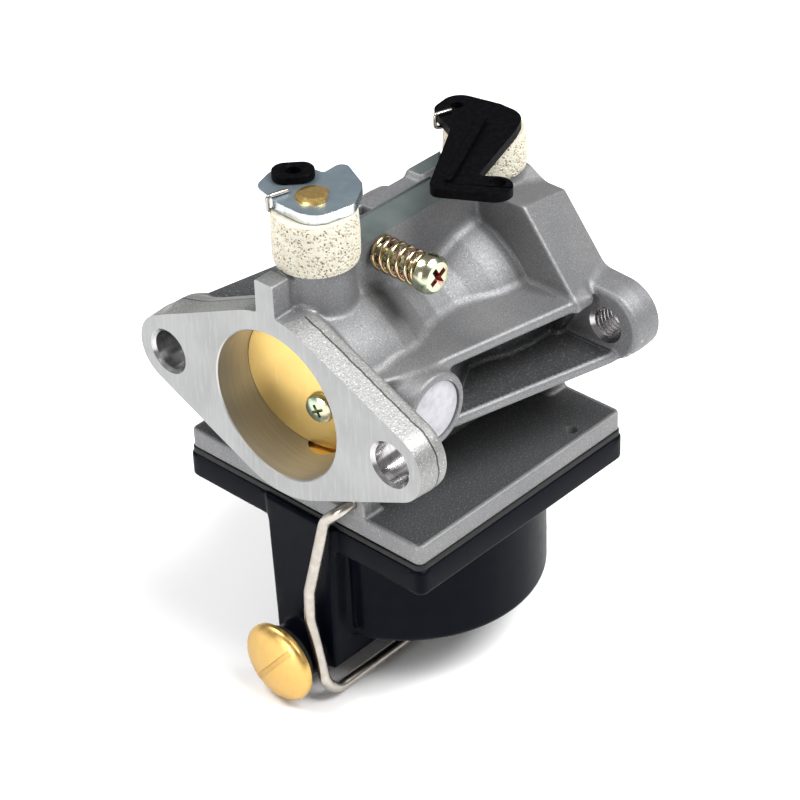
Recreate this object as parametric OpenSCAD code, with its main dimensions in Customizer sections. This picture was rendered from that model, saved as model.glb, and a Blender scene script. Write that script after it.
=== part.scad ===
// Side-draught float-bowl carburetor for a small engine.
// Origin: centre of the throttle bore on the engine flange face.
// +X runs through the bore towards the air inlet, +Z is up.

/* [Throttle bore and engine flange] */
// Radius of the throttle bore
bore_r = 12.7; // [12:0.1:13]
// Thickness of the engine flange
flange_t = 6; // [5:0.5:7]
// Distance from the bore to each engine stud hole
stud_y = 23.7; // [23:0.1:25]
// Radius of the engine stud holes
stud_hole_r = 3.4; // [3:0.1:3.6]
// Distance of the throttle shaft from the engine face
throttle_x = 10.6; // [10:0.1:11]
// How far the closed throttle plate leans from square to the bore
throttle_lean = 12.5; // [8:0.5:15]

/* [Air inlet] */
// Length of the body from engine face to inlet face
body_l = 54; // [53.5:0.5:56]
// Radius of the air horn bore
horn_r = 13.8; // [13.4:0.1:14]
// Radius of the venturi throat
throat_r = 9.6; // [9:0.1:10.5]
// Distance of the choke shaft from the engine face
choke_x = 48.9; // [48.5:0.1:49.2]
// Thickness of the inlet flange
inlet_t = 7.6; // [7:0.1:8]

/* [Fuel bowl] */
// Half width of the square bowl cover plate
plate_y = 25.1; // [24.8:0.1:25.6]
// Height of the cover plate's upper face below the bore centre
plate_top = 17.5; // [17.3:0.1:18]
// Outer radius of the round fuel cup
cup_r = 22.8; // [22.5:0.1:23.2]
// Depth of the cup's floor below the bore centre
cup_bottom = 45.6; // [45:0.1:46]
// Height of the slotted screw's axis below the bore centre
jet_screw_z = 48.4; // [48:0.1:48.6]
// Angle that the empty float hangs down
float_droop = 4; // [3:0.5:4.5]

/* [Wires] */
// Diameter of the bowl bail wire
bail_d = 1.9; // [1.6:0.1:2]
// Wire diameter of the small return springs
spring_wire = 0.7; // [0.6:0.05:0.8]

/* [Hidden] */
$fn = 64;
eps = 0.01;

// Cast body
barrel_r = 15.2;
waist_r = 13.7;
horn_outer_r = 16.4;
flange_r = 16.2;
flange_ear_r = 6.3;
plate_front = 4.3;
plate_back = 52.7;
plate_bottom = 21;
inlet_ear_y = 25.2;
inlet_ear_z = 1.2;
inlet_ear_r = 6.3;
inlet_ear_t = 5.7;
inlet_hole_r = 2.6;
hood_x = 42.8;
deck_z = 22.5;
deck_y0 = -3.6;
deck_y1 = 2.1;
deck_x0 = 16.2;
deck_x1 = 46.6;
recess_y1 = 6.6;
plug_x = 13.4;
plug_z = 1.1;
plug_y = -21;
plug_boss_r = 6.4;
plug_r = 5.2;
upper_shelf_z = 7.4;
lower_shelf_z = -3;
boss_r = 6.6;
throttle_boss_z = 21.7;
choke_boss_z = 21;
idle_x = 20.3;
idle_z = 19.6;
idle_hole_r = 1.55;

// A bend in a wire is slightly fuller than its straight runs
bend_swell = 1.06;

// Shafts, plates and levers
throttle_shaft_r = 3;
choke_shaft_r = 2.6;
running = 0.05;
plate_gap = 0.08;
butterfly_t = 1;
throttle_lever_z = 30.5;
throttle_lever_t = 1.6;
choke_lever_z = 27.6;
choke_lever_t = 2;
seal_r = 6.6;
seal_bore_r = 4.6;
seal_gap = 0.3;
tenon_r = 2.2;

// Bowl and float
bowl_x = 28.4;
gasket_t = 1;
bowl_flange_t = 4.5;
cup_wall = 2;
jet_well_x = 10;
tower_bottom = 51;
column_r = 5;
column_bottom = 37.5;
nozzle_r = 1.95;
needle_x = 38.6;
hinge_x = 45;
hinge_z = -25.2;
hinge_pin_r = 0.8;
float_top = -28.5;
float_h = 10;
needle_r = 1.7;
gallery_z = -12.6;
spigot_r = 3.1;
spigot_root_r = 2.6;
stub_r = 4.8;
tower_front = 3.2;
bail_pivot_y = -11.2;
bail_pivot_z = -15.4;
bail_front_x = 0.6;
bail_back_x = 54.6;

// ---------- general helpers ----------

function unit(v) = v / norm(v);

// Points of one corner b of an outline, rounded with radius r
function rounded_corner(a, b, c, r, n) =
    let (u = unit(a - b), w = unit(c - b), half = acos(u * w) / 2,
         o = b + unit(u + w) * r / sin(half),
         p = b + u * r / tan(half) - o, q = b + w * r / tan(half) - o,
         start = atan2(p.y, p.x), raw = atan2(q.y, q.x) - start,
         turn = raw > 180 ? raw - 360 : raw < -180 ? raw + 360 : raw)
    [for (i = [0 : n]) o + r * [cos(start + turn * i / n), sin(start + turn * i / n)]];

// Outline through [x, y, radius] corners
function rounded_outline(corners, n = 8) =
    let (m = len(corners), p = [for (k = corners) [k[0], k[1]]])
    [for (i = [0 : m - 1])
        each rounded_corner(p[(i + m - 1) % m], p[i], p[(i + 1) % m], corners[i][2], n)];

module rounded_plate(corners, t) {
    linear_extrude(t) polygon(rounded_outline(corners));
}

// Local x, y, z become Y, Z, X
module along_x() rotate([90, 0, 90]) children();

// Cylinders that start at p and point along the named axis
module rod_x(p, r, l) translate(p) rotate([0, 90, 0]) cylinder(r = r, h = l);
module rod_minus_y(p, r, l) translate(p) rotate([90, 0, 0]) cylinder(r = r, h = l);
module rod_y(p, r, l) translate(p) rotate([-90, 0, 0]) cylinder(r = r, h = l);
module rod_z(p, r, l) translate(p) cylinder(r = r, h = l);

module block(low, high) translate(low) cube(high - low);

// Two circles joined by their outer tangents, drawn in the plane
module tangent_pair(c1, r1, c2, r2) {
    d = c2 - c1;
    gap = norm(d);
    lean = acos((r1 - r2) / gap);
    heading = atan2(d.y, d.x);
    translate(c1) circle(r1);
    translate(c2) circle(r2);
    polygon([for (k = [[c1, r1, 1], [c2, r2, 1], [c2, r2, -1], [c1, r1, -1]])
        k[0] + (k[1] - eps) * [cos(heading + k[2] * lean), sin(heading + k[2] * lean)]]);
}

// Straight wire runs with round corners
module wire_run(points, r) {
    for (i = [0 : len(points) - 2]) {
        d = points[i + 1] - points[i];
        translate(points[i])
            rotate([0, acos(d.z / norm(d)), atan2(d.y, d.x)]) cylinder(r = r, h = norm(d));
    }
    for (i = [1 : len(points) - 2]) translate(points[i]) sphere(r * bend_swell);
}

// Round wire swept through closely spaced points; side is never parallel to the wire
module swept_wire(points, r, side, sides = 8) {
    last = len(points) - 1;
    rings = [for (i = [0 : last])
        let (t = unit(points[min(i + 1, last)] - points[max(i - 1, 0)]),
             a = unit(cross(t, side)), b = cross(t, a))
        for (k = [0 : sides - 1])
            points[i] + r * (a * cos(360 * k / sides) + b * sin(360 * k / sides))];
    skin = [for (i = [0 : last - 1]) for (k = [0 : sides - 1])
        let (j = (k + 1) % sides)
        [i * sides + k, (i + 1) * sides + k, (i + 1) * sides + j, i * sides + j]];
    start_cap = [for (k = [0 : sides - 1]) k];
    end_cap = [for (k = [sides - 1 : -1 : 0]) last * sides + k];
    polyhedron(rings, concat(skin, [start_cap, end_cap]));
}

// Points of a helix about +Z
function helix(r, z0, pitch, from, to, step = 15) =
    [for (a = [from : step : to]) [r * cos(a), r * sin(a), z0 + pitch * (a - from) / 360]];

// Cross recess cutter that points down from z = 0
module cross_recess(w, depth) {
    for (a = [0, 90]) rotate(a) translate([-w / 2, -w / 8, -depth]) cube([w, w / 4, depth + 1]);
}

// Pan-head screw, head bearing face at z = 0 and shank pointing down
module pan_screw(head_r, head_h, shank_r, shank_l) {
    difference() {
        rotate_extrude() polygon([
            [0, 0], [head_r, 0], [head_r, head_h * 0.45],
            [head_r * 0.8, head_h * 0.85], [head_r * 0.45, head_h], [0, head_h],
        ]);
        translate([0, 0, head_h]) cross_recess(head_r * 1.15, head_h * 0.6);
    }
    translate([0, 0, -shank_l]) cylinder(r = shank_r, h = shank_l + eps);
}

// ---------- body casting ----------

module flange_outline() {
    for (s = [-1, 1]) tangent_pair([0, 0], flange_r, [s * stud_y, 0], flange_ear_r);
}

module engine_flange() {
    along_x() linear_extrude(flange_t) flange_outline();
}

module stud_holes() {
    for (s = [-1, 1]) rod_x([-1, s * stud_y, 0], stud_hole_r, flange_t + 2);
}

// Flat round seats that the foam seals stand on
module seal_seats() {
    rod_z([throttle_x, 0, throttle_boss_z], seal_r + seal_gap, 10);
    rod_z([choke_x, 0, choke_boss_z], seal_r + seal_gap, 10);
}

// Outside of the bore, from throttle barrel through the waist to the air horn
module barrel() {
    rotate([90, 0, 90]) rotate_extrude() polygon([
        [0, 3], [barrel_r, 3], [barrel_r, 17], [waist_r, 23], [waist_r, 32.5],
        [horn_outer_r, 38], [horn_outer_r, body_l], [0, body_l],
    ]);
}

module bore_cut() {
    rotate([90, 0, 90]) rotate_extrude() polygon([
        [0, -1], [bore_r, -1], [bore_r, 21.5], [throat_r, 27], [throat_r, 30],
        [horn_r, 37.5], [horn_r, body_l + 1], [0, body_l + 1],
    ]);
}

module inlet_flange() {
    front = body_l - inlet_t;
    translate([front, 0, 0]) along_x() linear_extrude(inlet_t) polygon(rounded_outline([
        [-21.6, 4.8, 1.2], [-10.5, 16.9, 1.5], [-4.5, 19.2, 2], [7.6, 19.2, 2],
        [12.5, 14, 2], [21.6, -4.8, 1.5], [10, -13.5, 4], [-10, -13.5, 4],
    ]));
    translate([hood_x, 0, 0]) along_x() linear_extrude(8) polygon(rounded_outline([
        [-24, 5.4, 0.8], [-12.2, 19.7, 1.5], [7.6, 19.7, 2], [12.5, 14, 2], [12.5, 5.4, 1],
    ]));
    for (s = [-1, 1]) translate([body_l - inlet_ear_t, 0, 0]) along_x()
        linear_extrude(inlet_ear_t)
        tangent_pair([s * 10, -s * 0.5], 8, [s * inlet_ear_y, -s * inlet_ear_z], inlet_ear_r);
}

module inlet_holes() {
    for (s = [-1, 1])
        rod_x([body_l - inlet_ear_t - 1, s * inlet_ear_y, -s * inlet_ear_z], inlet_hole_r, inlet_ear_t + 2);
}

// Drilled idle passage block with its machined deck
module passage_block() {
    block([deck_x0, deck_y0, 8], [deck_x1, deck_y1, deck_z]);
    block([24.5, deck_y1 - eps, 8], [deck_x1, recess_y1, deck_z - 0.9]);
    block([37, recess_y1 - 1, 8], [deck_x1, recess_y1, deck_z]);
}

// Flat shelf on the far side of the bore from the plug
module side_shelf() {
    translate([0, 0, upper_shelf_z - 2]) linear_extrude(2) polygon([
        [3, 8], [3, 23.2], [5, 23.2], [23, 19.8], [body_l - inlet_t + 1, 22.4], [body_l - inlet_t + 1, 8],
    ]);
    block([24, 0, 4], [deck_x1, 9.5, 14]);
}

module locating_lug() {
    block([0, -1.1, 13], [3.5, 2.7, 21.7]);
    block([3.4, -1.1, 13], [6, 2.7, throttle_boss_z - 0.4]);
}

module shaft_bosses() {
    rod_z([throttle_x, 0, 10], boss_r, throttle_boss_z - 10);
    rod_z([throttle_x, 0, -18], 5, 6);
    intersection() {
        union() {
            rod_z([choke_x, 0, 12], seal_r, choke_boss_z - 12);
            rod_z([choke_x, 0, -plate_top - 1], 4.8, 8);
        }
        block([30, -20, -30], [body_l, 20, 30]);
    }
}

// Plug boss, two shelves and the slanted web between them
module side_pocket() {
    difference() {
        rod_minus_y([plug_x, -8, plug_z], plug_boss_r, -plug_y - 8);
        rod_minus_y([plug_x, plug_y + 1.1, plug_z], plug_r, 2);
    }
    inlet_face = body_l - inlet_t + 1;
    translate([0, 0, upper_shelf_z - 2]) linear_extrude(2) polygon([
        [5, -10], [5, -15.5], [14, -18.6], [19, -18.9], [inlet_face, -23.6], [inlet_face, -8],
    ]);
    translate([0, 0, lower_shelf_z - 2]) linear_extrude(2) polygon([
        [5, -8], [10, -17], [19, -20], [body_l - inlet_ear_t + 1, -27.4], [body_l - inlet_t, -8],
    ]);
    translate([0, 0, lower_shelf_z - 1]) linear_extrude(9) polygon([
        [12, -10], [18, -18.5], [19.6, -17.4], [28, -12], [28, -8],
    ]);
}

// Rounded square of the cover plate, grown outwards on every side
module cover_outline(grow, t) rounded_plate([
    [plate_front - grow, -plate_y - grow, 1.2], [plate_back + grow, -plate_y - grow, 1.2],
    [plate_back + grow, plate_y + grow, 1.2], [plate_front - grow, plate_y + grow, 1.2],
], t);

module cover_plate() translate([0, 0, -plate_bottom])
    cover_outline(0, plate_bottom - plate_top);

module pedestal() {
    block([5, -8, -plate_top - eps], [50, 8, -9]);
    rod_z([bowl_x, 0, -column_bottom], column_r, column_bottom - 12);
    rod_z([needle_x, 0, -plate_bottom - 1], 4.6, 8);
    rod_y([needle_x, 0, gallery_z], 5, 15);
    for (s = [-1, 1]) block([hinge_x - 1.8, s * 5.55 - 1.25, hinge_z - 1.8],
        [hinge_x + 1.8, s * 5.55 + 1.25, -plate_bottom + eps]);
}

// Small lugs in front and behind that hold the ends of the bail wire
module bail_lugs() {
    for (x = [plate_front, plate_back - 4])
        block([x, bail_pivot_y - 2.1, -plate_top - eps], [x + 4, bail_pivot_y + 2.1, -13.2]);
}

module body_bores() {
    bore_cut();
    stud_holes();
    inlet_holes();
    seal_seats();
    rod_z([throttle_x, 0, -16.5], throttle_shaft_r + running, 40);
    rod_z([choke_x, 0, -17], choke_shaft_r + running, 40);
    rod_minus_y([idle_x, deck_y0 + 6, idle_z], idle_hole_r + running, 7);
    rod_z([idle_x, 0, 10], 0.8, idle_z - 10);
    rod_z([bowl_x, 0, -column_bottom - 1], nozzle_r, column_bottom);
    rod_z([bowl_x, 0, -column_bottom - 1], 2.6, 4);
    rod_z([needle_x, 0, -plate_bottom - 2], 3.2, 6);
    rod_z([needle_x, 0, gallery_z - 6], 1.2, 6);
    rod_y([needle_x, -1, gallery_z], 1.5, 17);
    rod_y([needle_x, 7.5, gallery_z], spigot_root_r, 9);
    rod_y([hinge_x, -8, hinge_z], hinge_pin_r, 16);
    for (x = [plate_front - 1, plate_back - 4.5])
        rod_x([x, bail_pivot_y, bail_pivot_z], bail_d / 2 + running, 5.5);
    rod_z([43.5, -22.5, -plate_bottom - 1], 1, 6);
}

module main_body() color([0.62, 0.63, 0.64]) {
    difference() {
        union() {
            engine_flange();
            barrel();
            inlet_flange();
            passage_block();
            side_shelf();
            locating_lug();
            shaft_bosses();
            side_pocket();
            cover_plate();
            pedestal();
            bail_lugs();
        }
        body_bores();
    }
}

module welch_plug() color([0.85, 0.85, 0.83]) {
    translate([plug_x, plug_y + 1.1, plug_z]) rotate([90, 0, 0]) rotate_extrude()
        polygon([[0, 0], [plug_r, 0], [plug_r, 0.6], [3, 0.95], [0, 1.05]]);
}

// ---------- idle mixture screw ----------

module idle_mixture_screw() color([0.8, 0.72, 0.5]) {
    head_y = -13.2;
    translate([idle_x, head_y, idle_z]) rotate([90, 0, 0]) difference() {
        union() {
            rotate_extrude() polygon([[0, 0], [3.1, 0], [3.1, 1.7], [2.4, 2.5], [0, 2.5]]);
            translate([0, 0, -14.2]) cylinder(r = idle_hole_r, h = 14.2 + eps);
            translate([0, 0, -15.2]) cylinder(r1 = 0.3, r2 = idle_hole_r, h = 1 + eps);
        }
        translate([0, 0, 2.5]) cross_recess(3.4, 1.4);
    }
}

module idle_screw_spring() color([0.75, 0.62, 0.38]) {
    wire_r = 0.42;
    gap = 9.6 - 2 * wire_r - 0.3;
    translate([idle_x, deck_y0 - wire_r - 0.15, idle_z]) rotate([90, 0, 0])
        swept_wire(helix(2.15, 0, gap / 6, 0, 2160), wire_r, [0, 0, 1]);
}

// ---------- throttle ----------

// Round shaft with a flat milled on its -x side across the bore
module butterfly_shaft(r, low, high, half_span) {
    difference() {
        rod_z([0, 0, low], r, high - low);
        block([-2 * r, -2 * r, -half_span], [0, 2 * r, half_span]);
    }
}

module at_throttle() translate([throttle_x, 0, 0]) children();
module at_choke() translate([choke_x, 0, 0]) children();

module throttle_shaft() color([0.78, 0.62, 0.3]) at_throttle() {
    difference() {
        rotate(throttle_lean) butterfly_shaft(throttle_shaft_r, -16, throttle_lever_z, bore_r + 0.3);
        for (z = [-5, 5]) rotate(throttle_lean) rod_x([-1, 0, z], 1.1, 6);
    }
    rod_z([0, 0, throttle_lever_z - eps], tenon_r, throttle_lever_t + 2 * eps);
    translate([0, 0, throttle_lever_z + throttle_lever_t]) intersection() {
        rotate_extrude() polygon([[0, 0], [2.8, 0], [2.6, 0.4], [1.8, 0.6], [0, 0.65]]);
        rotate(-55) block([-5, -5, 0], [2.1, 5, 2]);
    }
}

module throttle_plate() color([0.85, 0.7, 0.32]) intersection() {
    at_throttle() difference() {
        rotate(throttle_lean) block([-butterfly_t, -15, -15], [0, 15, 15]);
        for (z = [-5, 5]) rotate(throttle_lean) rod_x([-3, 0, z], 1.1, 6);
    }
    rod_x([0, 0, 0], bore_r - plate_gap, 25);
}

// Two screws whose heads bear on the plate, pointing into the shaft
module plate_screws(r) {
    for (z = [-5, 5]) translate([-butterfly_t, 0, z]) rotate([0, -90, 0])
        pan_screw(2.5, 1.5, 1.1, r + butterfly_t - 0.6);
}

module throttle_screws() color([0.78, 0.76, 0.7]) at_throttle()
    rotate(throttle_lean) plate_screws(throttle_shaft_r);

module throttle_lever() color([0.6, 0.66, 0.7]) at_throttle() difference() {
    translate([0, 0, throttle_lever_z]) rounded_plate([
        [-4.8, 2.7, 4], [-3.3, 8.9, 2.6], [1.6, 10.4, 2.6], [5.9, 7.2, 2.4],
        [6.1, 3.8, 0.4], [10.8, 3.9, 1.2], [7.4, -3.2, 2.8], [2.4, -6.3, 3.2], [-5, -4.6, 4.2],
    ], throttle_lever_t);
    rod_z([0, 0, throttle_lever_z - 1], tenon_r, 4);
    rod_z([2.2, 6.3, throttle_lever_z - 1], 2.1, 4);
}

module link_bushing() color([0.05, 0.05, 0.06]) at_throttle() translate([2.2, 6.3, throttle_lever_z]) {
    difference() {
        union() {
            rod_z([0, 0, -0.8], 2.1, throttle_lever_t + 1);
            translate([0, 0, throttle_lever_t]) rotate(-43) rounded_plate([
                [-3.3, -2.4, 2.1], [3.3, -2.4, 2.1], [3.3, 2.4, 2.1], [-3.3, 2.4, 2.1],
            ], 1.4);
            rod_z([0, 0, -1.4], 2.4, 1.4);
        }
        rod_z([0, 0, -2], 1.2, 8);
    }
}

module foam_ring(low, high) rotate_extrude() polygon([
    [seal_bore_r, low], [seal_r - 0.4, low], [seal_r, low + 0.5],
    [seal_r, high - 0.5], [seal_r - 0.4, high], [seal_bore_r, high],
]);

module throttle_foam_seal() color([0.93, 0.9, 0.8]) at_throttle()
    foam_ring(throttle_boss_z, throttle_lever_z - seal_gap - 1.2);

// Quarter bend at corner b of a wire that runs from a to c
function bend(a, b, c, r) =
    let (u = unit(a - b), w = unit(c - b), reach = r / tan(acos(u * w) / 2))
    [for (t = [0 : 0.25 : 1])
        b + reach * ((1 - t) * (1 - t) * u + t * t * w)];

// Coil inside the foam, with a leg that rises past the lever and hooks over its edge
module return_spring(coil_r, top_z, arm, hook_end, lift) {
    turns = 3;
    pitch = spring_wire * 1.25;
    tangent_at = atan2(arm.y, arm.x) - acos(coil_r / norm([arm.x, arm.y]));
    coil = helix(coil_r, top_z - turns * pitch, pitch, tangent_at - 360 * turns, tangent_at);
    corner = [arm.x, arm.y, top_z];
    top = corner + [0, 0, lift];
    tip = [hook_end.x, hook_end.y, top.z];
    path = concat(coil, bend(coil[len(coil) - 1], corner, top, spring_wire / 2),
        bend(corner, top, tip, spring_wire / 2), [tip]);
    swept_wire(path, spring_wire / 2, unit([0.4, -0.5, 0.75]));
}

module throttle_spring() color([0.45, 0.45, 0.46]) at_throttle()
    return_spring(3.6, throttle_lever_z - 0.5, [-5, 6.9], [-2.3, 5.3], throttle_lever_t + 1);

// ---------- choke ----------

module choke_shaft() color([0.7, 0.71, 0.72]) at_choke() {
    difference() {
        butterfly_shaft(choke_shaft_r, -16.6, choke_lever_z + 1.4, horn_r + 0.3);
        for (z = [-5, 5]) rod_x([-1, 0, z], 1.1, 6);
    }
}

module choke_plate() color([0.75, 0.76, 0.77]) at_choke() difference() {
    rod_x([-butterfly_t, 0, 0], horn_r - 0.25, butterfly_t);
    for (z = [-5, 5]) rod_x([-3, 0, z], 1.1, 6);
}

module choke_screws() color([0.78, 0.76, 0.7]) at_choke() plate_screws(choke_shaft_r);

module choke_lever() color([0.06, 0.06, 0.07]) at_choke() difference() {
    union() {
        translate([0, 0, choke_lever_z]) rounded_plate([
            [-6.1, 1.7, 3], [-2.9, 8.5, 2.8], [3.4, 9.4, 3], [5.1, 1.1, 3.5],
            [4.9, -4.1, 4.4], [0.2, -6.4, 4], [-13.6, -11.4, 0.5],
            [-10.6, -16.4, 2.8], [-16, -18.6, 2.8], [-22, -7.9, 1.8],
        ], choke_lever_t);
        lever_rib();
    }
    rod_z([0, 0, choke_lever_z - 1], choke_shaft_r, 2.4);
    rod_z([0.4, 6.1, choke_lever_z - 1], 1, 5);
    rod_z([-14, -14.9, choke_lever_z - 1], 1.3, 5);
}

// Stiffening rib along the lever's arm
module lever_rib() {
    run = [-18.2, -8.9];
    translate([0, 0, choke_lever_z + choke_lever_t - eps]) rotate(atan2(run.y, run.x))
        block([1.8, -0.6, 0], [norm(run), 0.6, 0.9]);
}

module choke_foam_seal() color([0.93, 0.9, 0.8]) at_choke()
    foam_ring(choke_boss_z, choke_lever_z - seal_gap - 1.2);

module choke_spring() color([0.75, 0.75, 0.76]) at_choke()
    return_spring(3.5, choke_lever_z - 0.5, [-4.9, 7], [-1.2, 6], choke_lever_t + 1);

// ---------- fuel bowl ----------

module bowl_gasket() color([0.05, 0.05, 0.05]) difference() {
    translate([0, 0, -plate_bottom - gasket_t]) cover_outline(0.25, gasket_t);
    rod_z([bowl_x, 0, -30], cup_r - cup_wall, 20);
}

module float_bowl() color([0.09, 0.1, 0.13]) {
    top = -plate_bottom - gasket_t;
    difference() {
        union() {
            translate([0, 0, top - bowl_flange_t]) cover_outline(0.5, bowl_flange_t);
            rod_z([bowl_x, 0, -cup_bottom], cup_r, cup_bottom + top);
            jet_tower(top);
            latch_keel();
        }
        rod_z([bowl_x, 0, -cup_bottom + cup_wall], cup_r - cup_wall, 30);
        rod_x([-2, 0, -jet_screw_z], 3.2, jet_well_x + 4);
        rod_z([jet_well_x, 0, -jet_screw_z], 1.6, 12);
    }
}

// Tapered tower at the front that holds the slotted screw
module jet_tower(top) {
    translate([tower_front, 0, 0]) along_x() linear_extrude(11)
        polygon([[-7.4, top], [7.4, top], [6.4, -tower_bottom], [-6.4, -tower_bottom]]);
    rod_x([-0.8, 0, -jet_screw_z], stub_r, plate_front + 2);
}

// Keel under the cup that the bail wire lies against
module latch_keel() {
    block([20, -10, -52.3], [38, 4, -cup_bottom + 1]);
    block([22, -5.7, -54.1], [36, 0, -52.3 + eps]);
}

module bowl_screw() color([0.83, 0.66, 0.25]) {
    translate([-2.4, 0, -jet_screw_z]) rotate([0, -90, 0]) difference() {
        rotate_extrude() polygon([
            [0, 0], [6.85, 0], [6.95, 0.8], [6.2, 1.7], [4.2, 2.5], [2.1, 2.8], [0, 2.9],
        ]);
        rotate(-40) block([-8, -0.4, 1.6], [8, 0.4, 4]);
    }
    difference() {
        rod_x([-2.4 - eps, 0, -jet_screw_z], 3.15, 12);
        rod_x([6, 0, -jet_screw_z], 0.6, 6);
    }
}

module bowl_screw_seal() color([0.04, 0.04, 0.04]) difference() {
    rod_x([-2.4, 0, -jet_screw_z], 5.6, 1.6);
    rod_x([-3, 0, -jet_screw_z], 3.2, 3);
}

module bail_wire() color([0.62, 0.58, 0.52]) {
    leg = [
        [bail_pivot_y, bail_pivot_z], [-8, -19.6], [-4.4, -39], [-7.2, -53.7],
    ];
    front = [for (p = leg) [bail_front_x, p.x, p.y]];
    back = [for (i = [len(leg) - 1 : -1 : 0]) [bail_back_x, leg[i].x, leg[i].y]];
    pins = [[plate_front + 3.5, bail_pivot_y, bail_pivot_z], [plate_back - 3.5, bail_pivot_y, bail_pivot_z]];
    wire_run(concat([pins[0]], front, back, [pins[1]]), bail_d / 2);
}

// ---------- float and needle ----------

module at_hinge() translate([hinge_x, 0, hinge_z]) children();

module bowl_float() color([0.88, 0.86, 0.78])
    at_hinge() rotate([0, -float_droop, 0]) translate([-hinge_x, 0, -hinge_z]) difference() {
        union() {
            rod_z([bowl_x, 0, float_top - float_h], 19, float_h);
            block([needle_x - 2.6, -4, float_top - 1], [hinge_x + 1.4, 4, -27.05]);
            block([hinge_x - 1.4, -4, -28], [hinge_x + 1.4, 4, hinge_z]);
            rod_y([hinge_x, -4, hinge_z], 1.6, 8);
        }
        rod_z([bowl_x, 0, -50], 7.2, 40);
        rod_y([hinge_x, -5, hinge_z], hinge_pin_r + running, 10);
    }

module float_hinge_pin() color([0.75, 0.75, 0.75])
    rod_y([hinge_x, -7, hinge_z], hinge_pin_r, 14);

module inlet_needle() color([0.3, 0.28, 0.26]) {
    low = -27 - (hinge_x - needle_x) * sin(float_droop);
    translate([needle_x, 0, low]) rotate_extrude() polygon([
        [0, 0.03], [0.8, 0.1], [1.2, 0.6], [needle_r, 1], [needle_r, 6.2], [0.4, 8], [0, 8],
    ]);
}

module inlet_seat() color([0.83, 0.66, 0.25]) difference() {
    rod_z([needle_x, 0, -plate_bottom - 2], 3.2, 5.5);
    rod_z([needle_x, 0, -plate_bottom - 3], needle_r + running, 4.25);
    rod_z([needle_x, 0, -20], 1, 10);
}

module main_nozzle() color([0.83, 0.66, 0.25]) difference() {
    rod_z([bowl_x, 0, -34.5], nozzle_r, 31.5);
    rod_z([bowl_x, 0, -35], 0.9, 34);
    translate([bowl_x, 0, -31]) difference() {
        cylinder(r = 3, h = 1.2);
        translate([0, 0, -1]) cylinder(r = 1.4, h = 4);
    }
    for (z = [-27, -24, -21]) rod_x([bowl_x - 3, 0, z], 0.4, 6);
}

module nozzle_o_ring() color([0.04, 0.04, 0.04])
    translate([bowl_x, 0, -30.4]) rotate_extrude() translate([1.67, 0]) circle(r = 0.27, $fn = 24);

module main_jet() color([0.83, 0.66, 0.25]) difference() {
    union() {
        rod_z([bowl_x, 0, -column_bottom], 2.6, 3);
        translate([bowl_x, 0, -column_bottom - 1.5]) cylinder(r = 3.2, h = 1.5, $fn = 6);
    }
    rod_z([bowl_x, 0, -42], 0.45, 10);
}

module fuel_inlet_spigot() color([0.83, 0.66, 0.25]) {
    translate([needle_x, 0, gallery_z]) rotate([-90, 0, 0]) difference() {
        rotate_extrude() polygon([
            [0, 8], [spigot_root_r, 8], [spigot_root_r, 15], [3.8, 15], [3.8, 16.5], [spigot_r, 16.5],
            [spigot_r, 30], [spigot_r - 0.5, 31], [0, 31],
        ]);
        translate([0, 0, 7]) cylinder(r = 1.5, h = 26);
    }
}

main_body();
welch_plug();
idle_mixture_screw();
idle_screw_spring();
throttle_shaft();
throttle_plate();
throttle_screws();
throttle_lever();
link_bushing();
throttle_foam_seal();
throttle_spring();
choke_shaft();
choke_plate();
choke_screws();
choke_lever();
choke_foam_seal();
choke_spring();
bowl_gasket();
float_bowl();
bowl_screw();
bowl_screw_seal();
bail_wire();
bowl_float();
float_hinge_pin();
inlet_needle();
inlet_seat();
main_nozzle();
nozzle_o_ring();
main_jet();
fuel_inlet_spigot();
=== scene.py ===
"""Looks of a side-draught float carburetor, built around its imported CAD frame.

Cast, moulded and foam pieces are distance fields meshed with openvdb, and machined faces
are then cut into them. Shapes are drawn in millimetres and scaled to metres at the end.
"""

import math

import bmesh
import bpy
import numpy as np
import openvdb
from mathutils import Matrix, Vector


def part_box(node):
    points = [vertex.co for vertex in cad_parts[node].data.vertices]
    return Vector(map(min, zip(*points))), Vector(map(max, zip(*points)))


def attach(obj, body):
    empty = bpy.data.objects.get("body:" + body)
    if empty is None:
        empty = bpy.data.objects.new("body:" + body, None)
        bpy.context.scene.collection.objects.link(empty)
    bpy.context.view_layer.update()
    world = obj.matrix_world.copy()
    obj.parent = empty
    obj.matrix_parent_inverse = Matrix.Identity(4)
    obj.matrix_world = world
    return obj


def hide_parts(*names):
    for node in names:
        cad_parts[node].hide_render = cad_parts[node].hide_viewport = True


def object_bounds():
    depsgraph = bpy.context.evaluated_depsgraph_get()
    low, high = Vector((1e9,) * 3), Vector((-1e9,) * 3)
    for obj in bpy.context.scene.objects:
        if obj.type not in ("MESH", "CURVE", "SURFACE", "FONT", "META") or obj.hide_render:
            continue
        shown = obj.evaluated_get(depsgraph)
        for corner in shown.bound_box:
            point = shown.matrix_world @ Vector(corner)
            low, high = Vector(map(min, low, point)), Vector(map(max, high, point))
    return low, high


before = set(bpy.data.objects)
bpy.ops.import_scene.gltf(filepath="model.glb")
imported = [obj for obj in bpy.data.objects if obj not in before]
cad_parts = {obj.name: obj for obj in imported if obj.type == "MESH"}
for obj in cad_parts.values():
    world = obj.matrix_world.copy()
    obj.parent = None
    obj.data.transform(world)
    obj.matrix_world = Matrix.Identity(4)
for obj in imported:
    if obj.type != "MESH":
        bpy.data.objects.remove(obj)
CAD_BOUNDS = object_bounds()
MM = 0.001
RNG = np.random.default_rng(11)
FINE = 0.24


def cad_box(node):
    """Lowest and highest corner of a CAD node in millimetres."""
    low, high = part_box(node)
    return [c / MM for c in low], [c / MM for c in high]


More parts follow.
